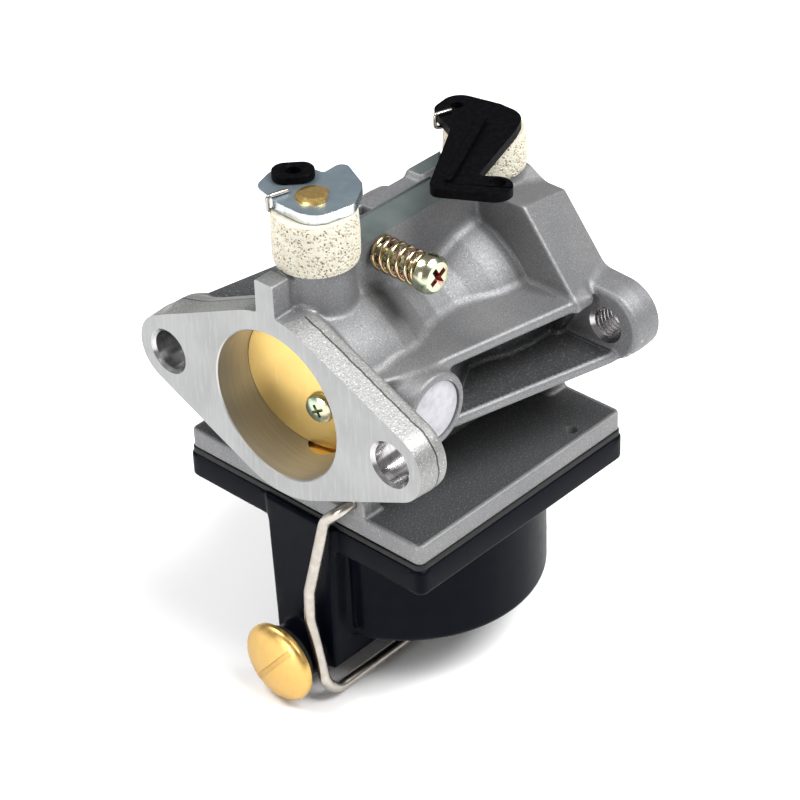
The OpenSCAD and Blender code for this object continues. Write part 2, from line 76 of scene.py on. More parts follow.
# ---------------------------------------------------------------- outlines


def unit(v):
    v = np.asarray(v, float)
    return v / np.linalg.norm(v)


def rounded(corners, steps=6):
    """Outline through (x, y, radius) corners, each rounded by an arc."""
    out = []
    n = len(corners)
    for i, (x, y, r) in enumerate(corners):
        b = np.array([x, y], float)
        if r <= 0:
            out.append(b)
            continue
        u = unit(np.array(corners[i - 1][:2]) - b)
        w = unit(np.array(corners[(i + 1) % n][:2]) - b)
        half = math.acos(float(np.clip(u @ w, -1, 1))) / 2
        centre = b + unit(u + w) * r / math.sin(half)
        p = b + u * r / math.tan(half) - centre
        q = b + w * r / math.tan(half) - centre
        start = math.atan2(p[1], p[0])
        turn = (math.atan2(q[1], q[0]) - start + math.pi) % (2 * math.pi) - math.pi
        for k in range(steps + 1):
            a = start + turn * k / steps
            out.append(centre + r * np.array([math.cos(a), math.sin(a)]))
    return np.array(out)


def circle(x, y, r, steps=48):
    turns = [2 * math.pi * k / steps for k in range(steps)]
    return np.array([(x + r * math.cos(a), y + r * math.sin(a)) for a in turns])


def hull_of_circles(circles, steps=72):
    """Convex outline round several (x, y, radius) circles."""
    pts = sorted(tuple(p) for x, y, r in circles for p in circle(x, y, r, steps))

    def half(points):
        line = []
        for p in points:
            while len(line) > 1 and (line[-1][0] - line[-2][0]) * (p[1] - line[-2][1]) - (
                line[-1][1] - line[-2][1]
            ) * (p[0] - line[-2][0]) <= 1e-9:
                line.pop()
            line.append(p)
        return line[:-1]

    return np.array(half(pts) + half(pts[::-1]))


def outline_distance(outline, u, v):
    """Signed distance from points (u, v) to a closed outline, negative inside."""
    best = np.full(np.broadcast(u, v).shape, np.inf, np.float32)
    inside = np.zeros(best.shape, bool)
    for (ax, ay), (bx, by) in zip(outline, np.roll(outline, -1, axis=0)):
        ex, ey = bx - ax, by - ay
        wx, wy = u - ax, v - ay
        t = np.clip((wx * ex + wy * ey) / (ex * ex + ey * ey + 1e-12), 0, 1)
        best = np.minimum(best, (wx - ex * t) ** 2 + (wy - ey * t) ** 2)
        if ay != by:
            crosses = (ay > v) != (by > v)
            inside ^= crosses & (u < ex * (v - ay) / (by - ay) + ax)
    best = np.sqrt(best)
    return np.where(inside, -best, best).astype(np.float32)


# ---------------------------------------------------------------- distance fields


class Solid:
    """A distance function with the box that holds its zero surface."""

    def __init__(self, f, low, high):
        self.f, self.low, self.high = f, np.array(low, float), np.array(high, float)


def edge_round(a, b, r):
    """Intersection of two distances with its edge rounded by r."""
    a, b = a + r, b + r
    return np.minimum(np.maximum(a, b), 0) + np.sqrt(np.maximum(a, 0) ** 2 + np.maximum(b, 0) ** 2) - r


def block(low, high, r=0.5):
    mid = [(a + b) / 2 for a, b in zip(low, high)]
    half = [(b - a) / 2 - r for a, b in zip(low, high)]

    def f(x, y, z):
        q = [abs(p - m) - h for p, m, h in zip((x, y, z), mid, half)]
        outside = np.sqrt(sum(np.maximum(k, 0) ** 2 for k in q))
        return outside + np.minimum(np.maximum(np.maximum(q[0], q[1]), q[2]), 0) - r

    return Solid(f, low, high)


def split(axis, x, y, z):
    """Coordinate along the axis, then the two across it in x, y, z order."""
    return {"x": (x, y, z), "y": (y, x, z), "z": (z, x, y)}[axis]


def corners_of(axis, a, b, u0, v0, u1, v1):
    return {
        "x": ([a, u0, v0], [b, u1, v1]),
        "y": ([u0, a, v0], [u1, b, v1]),
        "z": ([u0, v0, a], [u1, v1, b]),
    }[axis]


def corners_round(axis, a, b, centre, r):
    u, v = centre
    return corners_of(axis, a, b, u - r, v - r, u + r, v + r)


def rod(axis, centre, r, a, b, edge=0.4, cone=0.0):
    """Cylinder from a to b along an axis; cone adds radius for every mm along it."""

    def f(x, y, z):
        w, u, v = split(axis, x, y, z)
        radial = np.sqrt((u - centre[0]) ** 2 + (v - centre[1]) ** 2) - r - cone * (w - a)
        return edge_round(radial, abs(w - (a + b) / 2) - (b - a) / 2, edge)

    return Solid(f, *corners_round(axis, a, b, centre, r + max(cone * (b - a), 0)))


def prism(axis, outline, a, b, edge=0.4, parting=None, draft=0.0):
    """Outline swept from a to b along an axis; draft slims it away from the parting plane."""

    def f(x, y, z):
        w, u, v = split(axis, x, y, z)
        side = outline_distance(outline, u, v)
        if parting is not None:
            side = side + draft * abs(w - parting)
        return edge_round(side, abs(w - (a + b) / 2) - (b - a) / 2, edge)

    (u0, v0), (u1, v1) = outline.min(axis=0), outline.max(axis=0)
    return Solid(f, *corners_of(axis, a, b, u0, v0, u1, v1))


def turned(axis, centre, profile, low_w, high_w):
    """Solid of revolution from an (along, radius) profile, through a lookup table."""
    profile = np.array(profile, float)
    top = profile[:, 1].max()
    reach = 4.0
    rs = np.arange(0, top + reach, 0.1)
    mirrored = np.vstack([profile, (profile * [1, -1])[::-1]])

    def f(x, y, z):
        w, u, v = split(axis, x, y, z)
        radius = np.sqrt((u - centre[0]) ** 2 + (v - centre[1]) ** 2)
        order = "xyz".index(axis)
        ws = np.ravel(w)
        table = outline_distance(mirrored, ws[:, None], rs[None, :])
        planes = [np.interp(radius, rs, row).astype(np.float32) for row in table]
        return np.concatenate(planes, axis=order)

    return Solid(f, *corners_round(axis, low_w, high_w, centre, top))


class Field:
    """A voxel block that solids are added to and cut from, with round fillets."""

    FAR = 9.0

    def __init__(self, low, high, voxel):
        self.voxel = voxel
        self.origin = np.array(low, float) - 3 * voxel
        count = np.ceil((np.array(high) - self.origin) / voxel).astype(int) + 3
        self.d = np.full(count, self.FAR, np.float32)

    def _near(self, solid, margin):
        first = np.floor((solid.low - margin - self.origin) / self.voxel).astype(int)
        last = np.ceil((solid.high + margin - self.origin) / self.voxel).astype(int) + 1
        i0, i1 = np.maximum(first, 0), np.minimum(last, self.d.shape)
        part = tuple(slice(a, b) for a, b in zip(i0, i1))
        axes = [
            (self.origin[k] + self.voxel * np.arange(i0[k], i1[k])).astype(np.float32) for k in range(3)
        ]
        return part, (axes[0][:, None, None], axes[1][None, :, None], axes[2][None, None, :])

    def add(self, solid, fillet=0.8):
        part, xyz = self._near(solid, fillet + 3 * self.voxel)
        a, b = self.d[part], solid.f(*xyz).astype(np.float32)
        if fillet > 0:
            u, v = np.maximum(fillet - a, 0), np.maximum(fillet - b, 0)
            self.d[part] = np.maximum(fillet, np.minimum(a, b)) - np.sqrt(u * u + v * v)
        else:
            self.d[part] = np.minimum(a, b)
        return self

    def cut(self, solid, fillet=0.3):
        part, xyz = self._near(solid, fillet + 3 * self.voxel)
        a, b = self.d[part], -solid.f(*xyz).astype(np.float32)
        if fillet > 0:
            u, v = np.maximum(fillet + a, 0), np.maximum(fillet + b, 0)
            self.d[part] = np.minimum(-fillet, np.maximum(a, b)) + np.sqrt(u * u + v * v)
        else:
            self.d[part] = np.maximum(a, b)
        return self

    def mesh(self, name, adaptivity=0.02):
        band = 3 * self.voxel
        grid = openvdb.FloatGrid()
        grid.background = band
        grid.copyFromArray(np.clip(self.d, -band, band))
        grid.transform = openvdb.createLinearTransform(self.voxel)
        points, triangles, quads = grid.convertToPolygons(isovalue=0.0, adaptivity=adaptivity)
        obj = raw_object(name, points + self.origin, [*triangles.tolist(), *quads.tolist()])
        outward(obj)
        return obj


# ---------------------------------------------------------------- meshes


def raw_object(name, verts, faces):
    mesh = bpy.data.meshes.new(name)
    mesh.from_pydata([tuple(v) for v in verts], [], [tuple(f) for f in faces])
    mesh.validate()
    obj = bpy.data.objects.new(name, mesh)
    bpy.context.scene.collection.objects.link(obj)
    return obj


def prism_mesh(name, outline, a, b, axis="z"):
    """Closed prism of an anticlockwise outline."""
    n = len(outline)
    place = {"x": lambda u, v, w: (w, u, v), "z": lambda u, v, w: (u, v, w)}[axis]
    verts = [place(u, v, a) for u, v in outline] + [place(u, v, b) for u, v in outline]
    faces = [list(range(n))[::-1], list(range(n, 2 * n))]
    faces += [[k, (k + 1) % n, n + (k + 1) % n, n + k] for k in range(n)]
    obj = raw_object(name, verts, faces)
    outward(obj)
    return obj


def upright_to(axis):
    """Rotation that lays something drawn along z on the named axis."""
    quarter = math.pi / 2
    return {
        "x": Matrix.Rotation(quarter, 4, "Y"),
        "-x": Matrix.Rotation(-quarter, 4, "Y"),
        "y": Matrix.Rotation(-quarter, 4, "X"),
        "-y": Matrix.Rotation(quarter, 4, "X"),
        "z": Matrix.Identity(4),
    }[axis]


def lathe_mesh(name, profile, steps=96, axis="z", centre=(0, 0, 0)):
    """Surface of revolution of a (radius, along) profile, closed at the axis unless it is a loop."""
    if profile[0] != profile[-1]:
        caps = [[(0, end[1])] if end[0] > 0 else [] for end in (profile[0], profile[-1])]
        profile = [*caps[0], *profile, *caps[1]]
    rings, verts, faces = [], [], []
    for r, w in profile:
        if r <= 1e-6:
            rings.append([len(verts)])
            verts.append((0, 0, w))
        else:
            rings.append(list(range(len(verts), len(verts) + steps)))
            verts += [(x, y, w) for x, y in circle(0, 0, r, steps)]
    for lower, upper in zip(rings, rings[1:]):
        for k in range(steps):
            j = (k + 1) % steps
            quad = [(lower, k), (lower, j), (upper, j), (upper, k)]
            face = list(dict.fromkeys(ring[i % len(ring)] for ring, i in quad))
            if len(face) > 2:
                faces.append(face)
    obj = raw_object(name, verts, faces)
    obj.data.transform(Matrix.Translation(centre) @ upright_to(axis))
    outward(obj)
    return obj


def outward(obj):
    bm = bmesh.new()
    bm.from_mesh(obj.data)
    bmesh.ops.recalc_face_normals(bm, faces=bm.faces)
    if bm.calc_volume(signed=True) < 0:
        bmesh.ops.reverse_faces(bm, faces=bm.faces)
    bm.to_mesh(obj.data)
    bm.free()


def tube_mesh(name, points, r, sides=16):
    """Round wire along closely spaced points, with domed ends."""
    pts = [np.array(p, float) for p in points]
    first, last = unit(pts[0] - pts[1]), unit(pts[-1] - pts[-2])
    dome = [(0.92, 0.38), (0.71, 0.7), (0.38, 0.92)]
    path = [(pts[0] + first * r * s * 0.5, c) for c, s in dome[::-1]]
    path += [(p, 1.0) for p in pts]
    path += [(pts[-1] + last * r * s * 0.5, c) for c, s in dome]
    centres = [p for p, _ in path]
    side = unit(np.cross(centres[1] - centres[0], [0.31, 0.57, 0.76]))
    verts, faces = [], []
    for i, (p, scale) in enumerate(path):
        t = unit(centres[min(i + 1, len(path) - 1)] - centres[max(i - 1, 0)])
        side = unit(side - t * (side @ t))
        other = np.cross(t, side)
        for k in range(sides):
            a = 2 * math.pi * k / sides
            verts.append(p + r * scale * (side * math.cos(a) + other * math.sin(a)))
    for i in range(len(path) - 1):
        for k in range(sides):
            j = (k + 1) % sides
            faces.append([i * sides + k, i * sides + j, (i + 1) * sides + j, (i + 1) * sides + k])
    end = (len(path) - 1) * sides
    faces += [list(range(sides))[::-1], list(range(end, end + sides))]
    obj = raw_object(name, verts, faces)
    outward(obj)
    return obj


def bent_path(corners, radius, steps=7):
    """Points of a wire through corners, with a round bend at each inner one."""
    c = [np.array(p, float) for p in corners]
    out = [c[0]]
    for a, b, d in zip(c, c[1:], c[2:]):
        u, w = unit(a - b), unit(d - b)
        half = math.acos(float(np.clip(u @ w, -1, 1))) / 2
        r = min(radius, 0.49 * min(np.linalg.norm(a - b), np.linalg.norm(d - b)) * math.tan(half))
        centre = b + unit(u + w) * r / math.sin(half)
        p, q = b + u * r / math.tan(half) - centre, b + w * r / math.tan(half) - centre
        angle = math.acos(float(np.clip(unit(p) @ unit(q), -1, 1)))
        for k in range(steps + 1):
            s = k / steps
            arc = p * math.sin((1 - s) * angle) + q * math.sin(s * angle)
            out.append(centre + arc / math.sin(angle))
    return out + [c[-1]]


def apply_modifiers(obj):
    graph = bpy.context.evaluated_depsgraph_get()
    mesh = bpy.data.meshes.new_from_object(obj.evaluated_get(graph))
    obj.modifiers.clear()
    obj.data = mesh
    return obj


def join(name, parts):
    """One object from several, without welding them."""
    bm = bmesh.new()
    for p in parts:
        bm.from_mesh(p.data)
        bpy.data.objects.remove(p)
    mesh = bpy.data.meshes.new(name)
    bm.to_mesh(mesh)
    bm.free()
    obj = bpy.data.objects.new(name, mesh)
    bpy.context.scene.collection.objects.link(obj)
    return obj


def carve(obj, cutters, operation="DIFFERENCE"):
    """Boolean with each cutter in turn; the cutters are used up."""
    for cutter in cutters:
        m = obj.modifiers.new("carve", "BOOLEAN")
        m.operation, m.object, m.solver = operation, cutter, "MANIFOLD"
        before = len(obj.data.polygons)
        apply_modifiers(obj)
        if len(obj.data.polygons) < min(before, 12) / 2:
            raise RuntimeError(f"{obj.name}: the cut with {cutter.name} left nothing")
        bpy.data.objects.remove(cutter)
    return obj


def bevel(obj, width, segments=2, angle=35):
    m = obj.modifiers.new("bevel", "BEVEL")
    m.width, m.segments, m.limit_method, m.angle_limit = width, segments, "ANGLE", math.radians(angle)
    m.harden_normals = False
    return apply_modifiers(obj)


def polish(obj, angle=32):
    """Smooth shading, sharp where faces meet at more than the angle."""
    obj.data.shade_smooth()
    obj.data.set_sharp_from_angle(angle=math.radians(angle))
    return obj


def flatten(obj):
    """Keeps the large flat faces of a bevelled piece flat in its smooth shading."""
    m = obj.modifiers.new("flatten", "WEIGHTED_NORMAL")
    m.keep_sharp = True
    return apply_modifiers(obj)


def centres_and_normals(obj):
    n = len(obj.data.polygons)
    c, v = np.zeros(3 * n), np.zeros(3 * n)
    obj.data.polygons.foreach_get("center", c)
    obj.data.polygons.foreach_get("normal", v)
    return c.reshape(-1, 3), v.reshape(-1, 3)


def paint(obj, materials, picks=()):
    """First material everywhere, and each later one on the faces its mask picks."""
    obj.data.materials.clear()
    for m in materials:
        obj.data.materials.append(m)
    index = np.zeros(len(obj.data.polygons), np.int32)
    for k, mask in enumerate(picks, 1):
        index[mask] = k
    obj.data.polygons.foreach_set("material_index", index)
    obj.data.update()
    return obj


def place(obj, body, nodes, slot):
    """Scales a finished millimetre piece to metres and hands it to the frame."""
    obj.data.transform(Matrix.Scale(MM, 4))
    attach(obj, body)
    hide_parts(*nodes)
    return obj


def finish(obj, body, node, slot, key, angle):
    """Smooths, paints and places a piece of one material."""
    polish(obj, angle)
    paint(obj, [MAT[key]])
    return place(obj, body, [node], slot)


# ---------------------------------------------------------------- cast body

BORE, THROAT, HORN = 12.7, 9.6, 13.8
STUD_Y, EAR_Y, EAR_Z = 23.7, 25.2, 1.2
THROTTLE_X, CHOKE_X, BODY_L = 10.6, 48.9, 54.0
DECK_Z, WALL_Y = 22.5, -3.6
COVER_TOP, COVER_BOTTOM = -17.5, -21.0
PLUG = (13.4, -21.0, 1.1)
IDLE = (20.3, 19.6)
PLATE_X, PLATE_Y = (4.3, 52.7), 25.1
THROTTLE_SEAT, CHOKE_SEAT = 21.7, 21.0
CUP_X, CUP_R = 28.4, 22.8
BORE_END, DECK_SUNK, PLUG_DEPTH = 21.5, 0.35, 1.1
NEEDLE_X, SPIGOT_Z = 38.6, -12.6
BAIL_EYE = (-11.2, -15.4)
BOWL_SCREW_Z = -48.4
THROTTLE_LEVER, CHOKE_LEVER, FOAM_GAP = (30.5, 32.1), (27.6, 29.1), 0.15


def plate_outline(grow, r=1.1):
    """Rounded rectangle of the bowl cover, grown outwards."""
    (x0, x1), y = PLATE_X, PLATE_Y + grow
    r += grow
    return rounded([(x0 - grow, -y, r), (x1 + grow, -y, r), (x1 + grow, y, r), (x0 - grow, y, r)])


def cast_field():
    """The rough casting before any machining, with stock left on the machined faces."""
    low, high = cad_box("main_body")
    field = Field([low[0] - 1.2, low[1] - 0.5, -38], [high[0] + 1.2, high[1] + 0.5, high[2] + 1.2], FINE)
    # Outside of the bore
    field.add(turned("x", (0, 0), [
        (1, 0), (1, 15.2), (15.5, 15.2), (18.5, 14.7), (22.5, 13.2), (26, 12.6), (30, 12.6), (33, 13.2),
        (37, 14.9), (41, 15.6), (BODY_L - 0.5, 15.8), (BODY_L - 0.5, 0),
    ], 1, BODY_L), 0)
    # Engine flange, slimmed both ways from its parting line
    outline = hull_of_circles([(0, 0, 16.35), (-STUD_Y, 0, 6.45), (STUD_Y, 0, 6.45)])
    field.add(prism("x", outline, -0.9, 6.0, 0.7, parting=3.7, draft=0.06), 1.0)
    # Locating lug in front of the throttle boss
    lug = rounded([(-1.2, 12, 0), (2.8, 12, 0), (2.7, 21.7, 0.3), (-1.1, 21.7, 0.3)])
    field.add(prism("x", lug, -0.9, 3.5, 0.2), 0.4)
    field.add(block([2.5, -1.0, 12], [7, 2.6, 21.0], 0.25), 0.4)
    # Shelf on the far side of the bore
    shelf = rounded([
        (2.5, 6, 0), (2.5, 23.6, 0.5), (5, 23.4, 2), (23, 20.0, 6), (47.4, 22.4, 1), (47.4, 6, 0),
    ])
    field.add(prism("z", shelf, 5.4, 7.4, 0.5), 3.0)
    field.add(block([24, 0, 4], [45.5, 9.5, 14.2], 1.5), 2.0)
    # Passage block: wall, deck, recess and raised end
    wall = rounded([(15.4, 8, 0), (46.0, 8, 0), (46.0, DECK_Z + 0.8, 0.6), (15.9, DECK_Z + 0.8, 0.6)])
    field.add(prism("y", wall, WALL_Y, 2.4, 0.5), 1.4)
    field.add(block([24.6, 1.2, 8], [46.0, 6.7, 21.6], 0.7), 0.8)
    field.add(block([37.2, 3.0, 8], [46.4, 6.8, DECK_Z + 0.1], 0.9), 0.7)
    # Bosses of the two shafts
    field.add(rod("z", (THROTTLE_X, 0), 5.8, 10, THROTTLE_SEAT + 0.8, 0.3), 0.7)
    field.add(rod("z", (THROTTLE_X, 0), 5.0, -18, -13, 0.5), 0.8)
    field.add(rod("z", (CHOKE_X - 0.6, 0), 6.3, 12, 21.8, 0.3), 1.2)
    field.add(rod("z", (CHOKE_X, 0), 4.8, -18.5, -12, 0.5), 0.8)
    # Inlet flange: thick facetted top, round ears
    flange = rounded([
        (-21.6, 4.8, 1.4), (-10.6, 16.9, 1.6), (-4.8, 20.4, 2), (6.8, 20.4, 2),
        (12.5, 15.5, 2.5), (21.6, -4.8, 1.5), (10, -13.5, 4), (-10, -13.5, 4),
    ])
    field.add(prism("x", flange, 46.4, BODY_L + 0.9, 0.7), 0.7)
    hood = rounded([(-25.2, 5.4, 0.8), (-13.2, 20.6, 1.2), (7.2, 20.6, 2), (13, 14, 2), (13, 5.4, 1)])
    field.add(prism("x", hood, 42.8, BODY_L + 0.9, 0.45, parting=42.8, draft=0.2), 0.5)
    for s in (-1, 1):
        ear = hull_of_circles([(s * 10, -s * 0.5, 8), (s * EAR_Y, -s * EAR_Z, 6.3)])
        field.add(prism("x", ear, BODY_L - 5.7, BODY_L + 0.9, 0.8, parting=51.6, draft=0.05), 0.8)
    # Plug boss, side shelves and the slanted web between them
    field.add(rod("y", (PLUG[0], PLUG[2]), 6.4, PLUG[1], -8, 0.6), 1.0)
    shelf = rounded([
        (5, -10, 0), (5, -14.6, 1), (14, -18.4, 2), (19.3, -19.2, 1), (46.8, -24.4, 1), (47.4, -8, 0),
    ])
    field.add(prism("z", shelf, 5.4, 7.4, 0.75), 0.9)
    shelf = rounded([(5, -8, 0), (10, -16.6, 1), (18.6, -20.2, 1), (48.8, -27.7, 1), (49.2, -8, 0)])
    field.add(prism("z", shelf, -5.0, -3.0, 0.75), 0.9)
    web = rounded([(12, -10, 0), (18.1, -19.1, 0.4), (19.9, -18.1, 0.6), (29.5, -12.4, 0), (29, -8, 0)])
    field.add(prism("z", web, -4.5, 6.0, 0.5), 0.8)
    # Bowl cover plate on its pedestal
    cover = plate_outline(0)
    field.add(block([5, -8, COVER_TOP - 1], [50, 8, -9], 1.0), 1.5)
    field.add(prism("z", cover, COVER_BOTTOM, COVER_TOP, 0.3), 0.9)
    field.add(rod("y", (NEEDLE_X, SPIGOT_Z), 5.0, 0, 15, 0.6), 0.8)
    # Inner column, needle boss and float hinge ears
    field.add(rod("z", (CUP_X, 0), 5.0, -37.5, -18, 0.4), 0.8)
    field.add(rod("z", (NEEDLE_X, 0), 4.6, -22, -18, 0.3), 0)
    for s in (-1, 1):
        field.add(block([43.2, s * 5.55 - 1.25, -27], [46.8, s * 5.55 + 1.25, -20], 0.4), 0.3)
    # Lugs that carry the bail wire
    for x in (PLATE_X[0], PLATE_X[1] - 4):
        lug = rounded([(-13.5, -18.5, 0), (-8.9, -18.5, 0), (-8.9, -13.9, 1.6), (-13.5, -13.9, 1.6)])
        field.add(prism("x", lug, x, x + 4, 0.4), 0.6)
    # Cored notch beside the deck
    field.cut(block([22.6, 2.2, 17.5], [26.2, 5.4, 26], 0.3), 0.3)
    return field


def machining():
    """Cutters for every machined face, bore and hole."""
    everywhere = rounded([(-40, -40, 0), (40, -40, 0), (40, 40, 0), (-40, 40, 0)])
    front, step = WALL_Y - 2, WALL_Y - 0.4
    strip = rounded([
        (16.8, front, 0), (25.2, front, 0), (25.2, step, 0),
        (38.2, step, 0), (38.2, 2.1, 0), (16.8, 2.1, 0),
    ])
    land = rounded([(15, front, 0), (60, front, 0), (60, 8.5, 0), (15, 8.5, 0)])
    above = 30
    cuts = [
        prism_mesh("face_engine", everywhere, -9, 0, "x"),
        prism_mesh("face_inlet", everywhere, BODY_L, BODY_L + 9, "x"),
        prism_mesh("deck", strip, DECK_Z - DECK_SUNK, above),
        prism_mesh("deck_land", land, DECK_Z, above),
        prism_mesh("throttle_seat", circle(THROTTLE_X, 0, 6.9, 72), THROTTLE_SEAT, above),
        prism_mesh("choke_seat", circle(CHOKE_X, 0, 7.4, 72), CHOKE_SEAT, above),
    ]

    def drill(name, profile, steps, axis, centre):
        cuts.append(lathe_mesh(name, profile, steps, axis, centre))

    drill("bore", [
        (BORE + 0.2, -2), (BORE + 0.2, -0.01), (BORE, 0.2), (BORE, BORE_END),
        (THROAT, 27), (THROAT, 30), (HORN, 37.5), (HORN, BODY_L - 0.4),
        (HORN + 0.4, BODY_L + 0.01), (HORN + 0.4, BODY_L + 2),
    ], 160, "x", (0, 0, 0))
    crests = [p for k in range(8) for p in ((2.6, 0.7 + 0.8 * k), (2.45, 1.1 + 0.8 * k))]
    tapped = [(3.7, -0.5), (3.2, 0.05), (2.6, 0.65), *crests, (2.6, 8)]
    for s in (-1, 1):
        drill("stud", [(3.95, -2), (3.95, -0.01), (3.4, 0.55), (3.4, 9)], 64, "x", (0, s * STUD_Y, 0))
        drill("tapped", tapped, 48, "x", (BODY_L - 5.75, s * EAR_Y, -s * EAR_Z))
    drill("throttle_bore", [(3.05, -16.5), (3.05, 24)], 64, "z", (THROTTLE_X, 0, 0))
    drill("choke_bore", [(2.65, -17), (2.65, 24)], 64, "z", (CHOKE_X, 0, 0))
    idle = [(2.1, -1), (2.1, 1.2), (1.6, 1.7), (1.6, 6)]
    drill("idle_bore", idle, 48, "y", (IDLE[0], WALL_Y, IDLE[1]))
    drill("plug_seat", [(5.2, -1), (5.2, PLUG_DEPTH)], 72, "y", PLUG)
    pipe = [(1.5, 0), (1.5, 7.5), (2.6, 7.5), (2.6, 17)]
    drill("pipe_seat", pipe, 48, "y", (NEEDLE_X, 0, SPIGOT_Z))
    drill("vent", [(1.0, -26), (1.0, -12)], 32, "z", (43.5, -22.5, 0))
    for x in (PLATE_X[0] - 1, PLATE_X[1] - 4.5):
        drill("bail_hole", [(1.0, 0), (1.0, 5.5)], 32, "x", (x, *BAIL_EYE))
    column = [(2.6, -39), (2.6, -34.5), (1.95, -34.5), (1.95, -0.5)]
    drill("column_bore", column, 32, "z", (CUP_X, 0, 0))
    drill("seat_bore", [(3.2, -24), (3.2, -17), (1.2, -17), (1.2, -12.6)], 32, "z", (NEEDLE_X, 0, 0))
    drill("hinge_bore", [(0.8, -8), (0.8, 8)], 24, "y", (45, 0, -25.2))
    return cuts


# ---------------------------------------------------------------- materials


class Finish:
    """A procedural material: noise layers drive colour, roughness and fine relief."""

    def __init__(self, name, colour, metallic, roughness, **fixed):
        self.name, self.m = name, bpy.data.materials.new(name)
        self.m.use_nodes = True
        self.tree = self.m.node_tree
        self.bsdf = self.tree.nodes["Principled BSDF"]
        self.bsdf.inputs["Metallic"].default_value = metallic
        for key, value in fixed.items():
            self.bsdf.inputs[key.replace("_", " ")].default_value = value
        self.coords = self.tree.nodes.new("ShaderNodeTexCoord").outputs["Object"]
        self.colour = (*colour, 1)
        self.rough = roughness
        self.height = None

    def feed(self, source, socket):
        """Links a socket, or sets it where the source is still a plain value."""
        if isinstance(source, bpy.types.NodeSocket):
            self.tree.links.new(source, socket)
        else:
            socket.default_value = source

    def math(self, operation, *values):
        """Output of a math node fed with sockets or numbers."""
        node = self.tree.nodes.new("ShaderNodeMath")
        node.operation = operation
        for value, socket in zip(values, node.inputs):
            self.feed(value, socket)
        return node.outputs[0]

    def ramp(self, source, start, end):
        """0 to 1 while the source goes from start to end."""
        node = self.tree.nodes.new("ShaderNodeMapRange")
        node.inputs["From Min"].default_value, node.inputs["From Max"].default_value = start, end
        self.tree.links.new(source, node.inputs["Value"])
        return node.outputs["Result"]

    def noise(self, per_mm, stretch=(1, 1, 1), detail=3, sharp=None, seed=0.0):
        """Noise in 0..1 with about per_mm features in a millimetre; sharp sets its ramp."""
        mapping = self.tree.nodes.new("ShaderNodeMapping")
        mapping.inputs["Scale"].default_value = [k * per_mm / MM for k in stretch]
        mapping.inputs["Location"].default_value = (seed, seed * 1.7, seed * 0.6)
        self.tree.links.new(self.coords, mapping.inputs["Vector"])
        texture = self.tree.nodes.new("ShaderNodeTexNoise")
        texture.inputs["Detail"].default_value = detail
        texture.inputs["Scale"].default_value = 1.0
        self.tree.links.new(mapping.outputs["Vector"], texture.inputs["Vector"])
        out = texture.outputs["Fac"]
        return self.ramp(out, *sharp) if sharp else out

    def tint(self, mask, colour, amount=1.0):
        """Mixes in another colour where the mask is high."""
        mix = self.tree.nodes.new("ShaderNodeMix")
        mix.data_type = "RGBA"
        factor = mask if amount == 1.0 else self.math("MULTIPLY", mask, amount)
        self.tree.links.new(factor, mix.inputs["Factor"])
        self.feed(self.colour, mix.inputs["A"])
        mix.inputs["B"].default_value = (*colour, 1)
        self.colour = mix.outputs["Result"]

    def relief(self, mask, depth_mm):
        """Raises the surface by up to depth_mm where the mask is high."""
        below = 0.0 if self.height is None else self.height
        self.height = self.math("MULTIPLY_ADD", mask, depth_mm * MM, below)

    def mottle(self, per_mm, colour, amount, sharp=(0.4, 0.7), **kind):
        """Patches of another colour."""
        self.tint(self.noise(per_mm, sharp=sharp, **kind), colour, amount)

    def uneven(self, per_mm, amount, **kind):
        """Roughness that varies over the surface."""
        self.rough = self.math("MULTIPLY_ADD", self.noise(per_mm, **kind), amount, self.rough)

    def texture(self, per_mm, depth_mm, **kind):
        """Fine relief from noise."""
        self.relief(self.noise(per_mm, **kind), depth_mm)

    def grain(self, light, dark, per_mm, amount, depth_mm):
        """Salt-and-pepper grain of a blasted casting."""
        self.mottle(per_mm, light, amount, (0.56, 0.72))
        self.mottle(per_mm * 1.3, dark, amount, (0.5, 0.34), seed=3.0)
        self.texture(per_mm * 0.8, depth_mm, detail=2, seed=1.3)

    def edges(self, colour, amount):
        """Lighter convex edges from the surface's pointiness: partly edge wear, partly a painted
        highlight.
        """
        geometry = self.tree.nodes.new("ShaderNodeNewGeometry")
        self.tint(self.ramp(geometry.outputs["Pointiness"], 0.52, 0.6), colour, amount)

    def parting_line(self, x_mm, half_mm, colour):
        """Thin, slightly wandering dark witness line of the die's parting plane."""
        axes = self.tree.nodes.new("ShaderNodeSeparateXYZ")
        self.tree.links.new(self.coords, axes.inputs[0])
        wander = self.math("MULTIPLY_ADD", self.noise(0.5, detail=2), 0.5 * MM, axes.outputs["X"])
        off = self.math("ABSOLUTE", self.math("SUBTRACT", wander, (x_mm + 0.25) * MM))
        line = self.ramp(off, 1.6 * half_mm * MM, half_mm * MM)
        self.tint(line, colour, 0.85)
        self.relief(line, -0.12)

    def done(self):
        self.feed(self.colour, self.bsdf.inputs["Base Color"])
        self.feed(self.rough, self.bsdf.inputs["Roughness"])
        if self.height is not None:
            bump = self.tree.nodes.new("ShaderNodeBump")
            bump.inputs["Strength"].default_value = 1.0
            bump.inputs["Distance"].default_value = 1.0
            self.tree.links.new(self.height, bump.inputs["Height"])
            self.tree.links.new(bump.outputs["Normal"], self.bsdf.inputs["Normal"])
        MAT[self.name] = self.m
        return self.m


MAT = {}


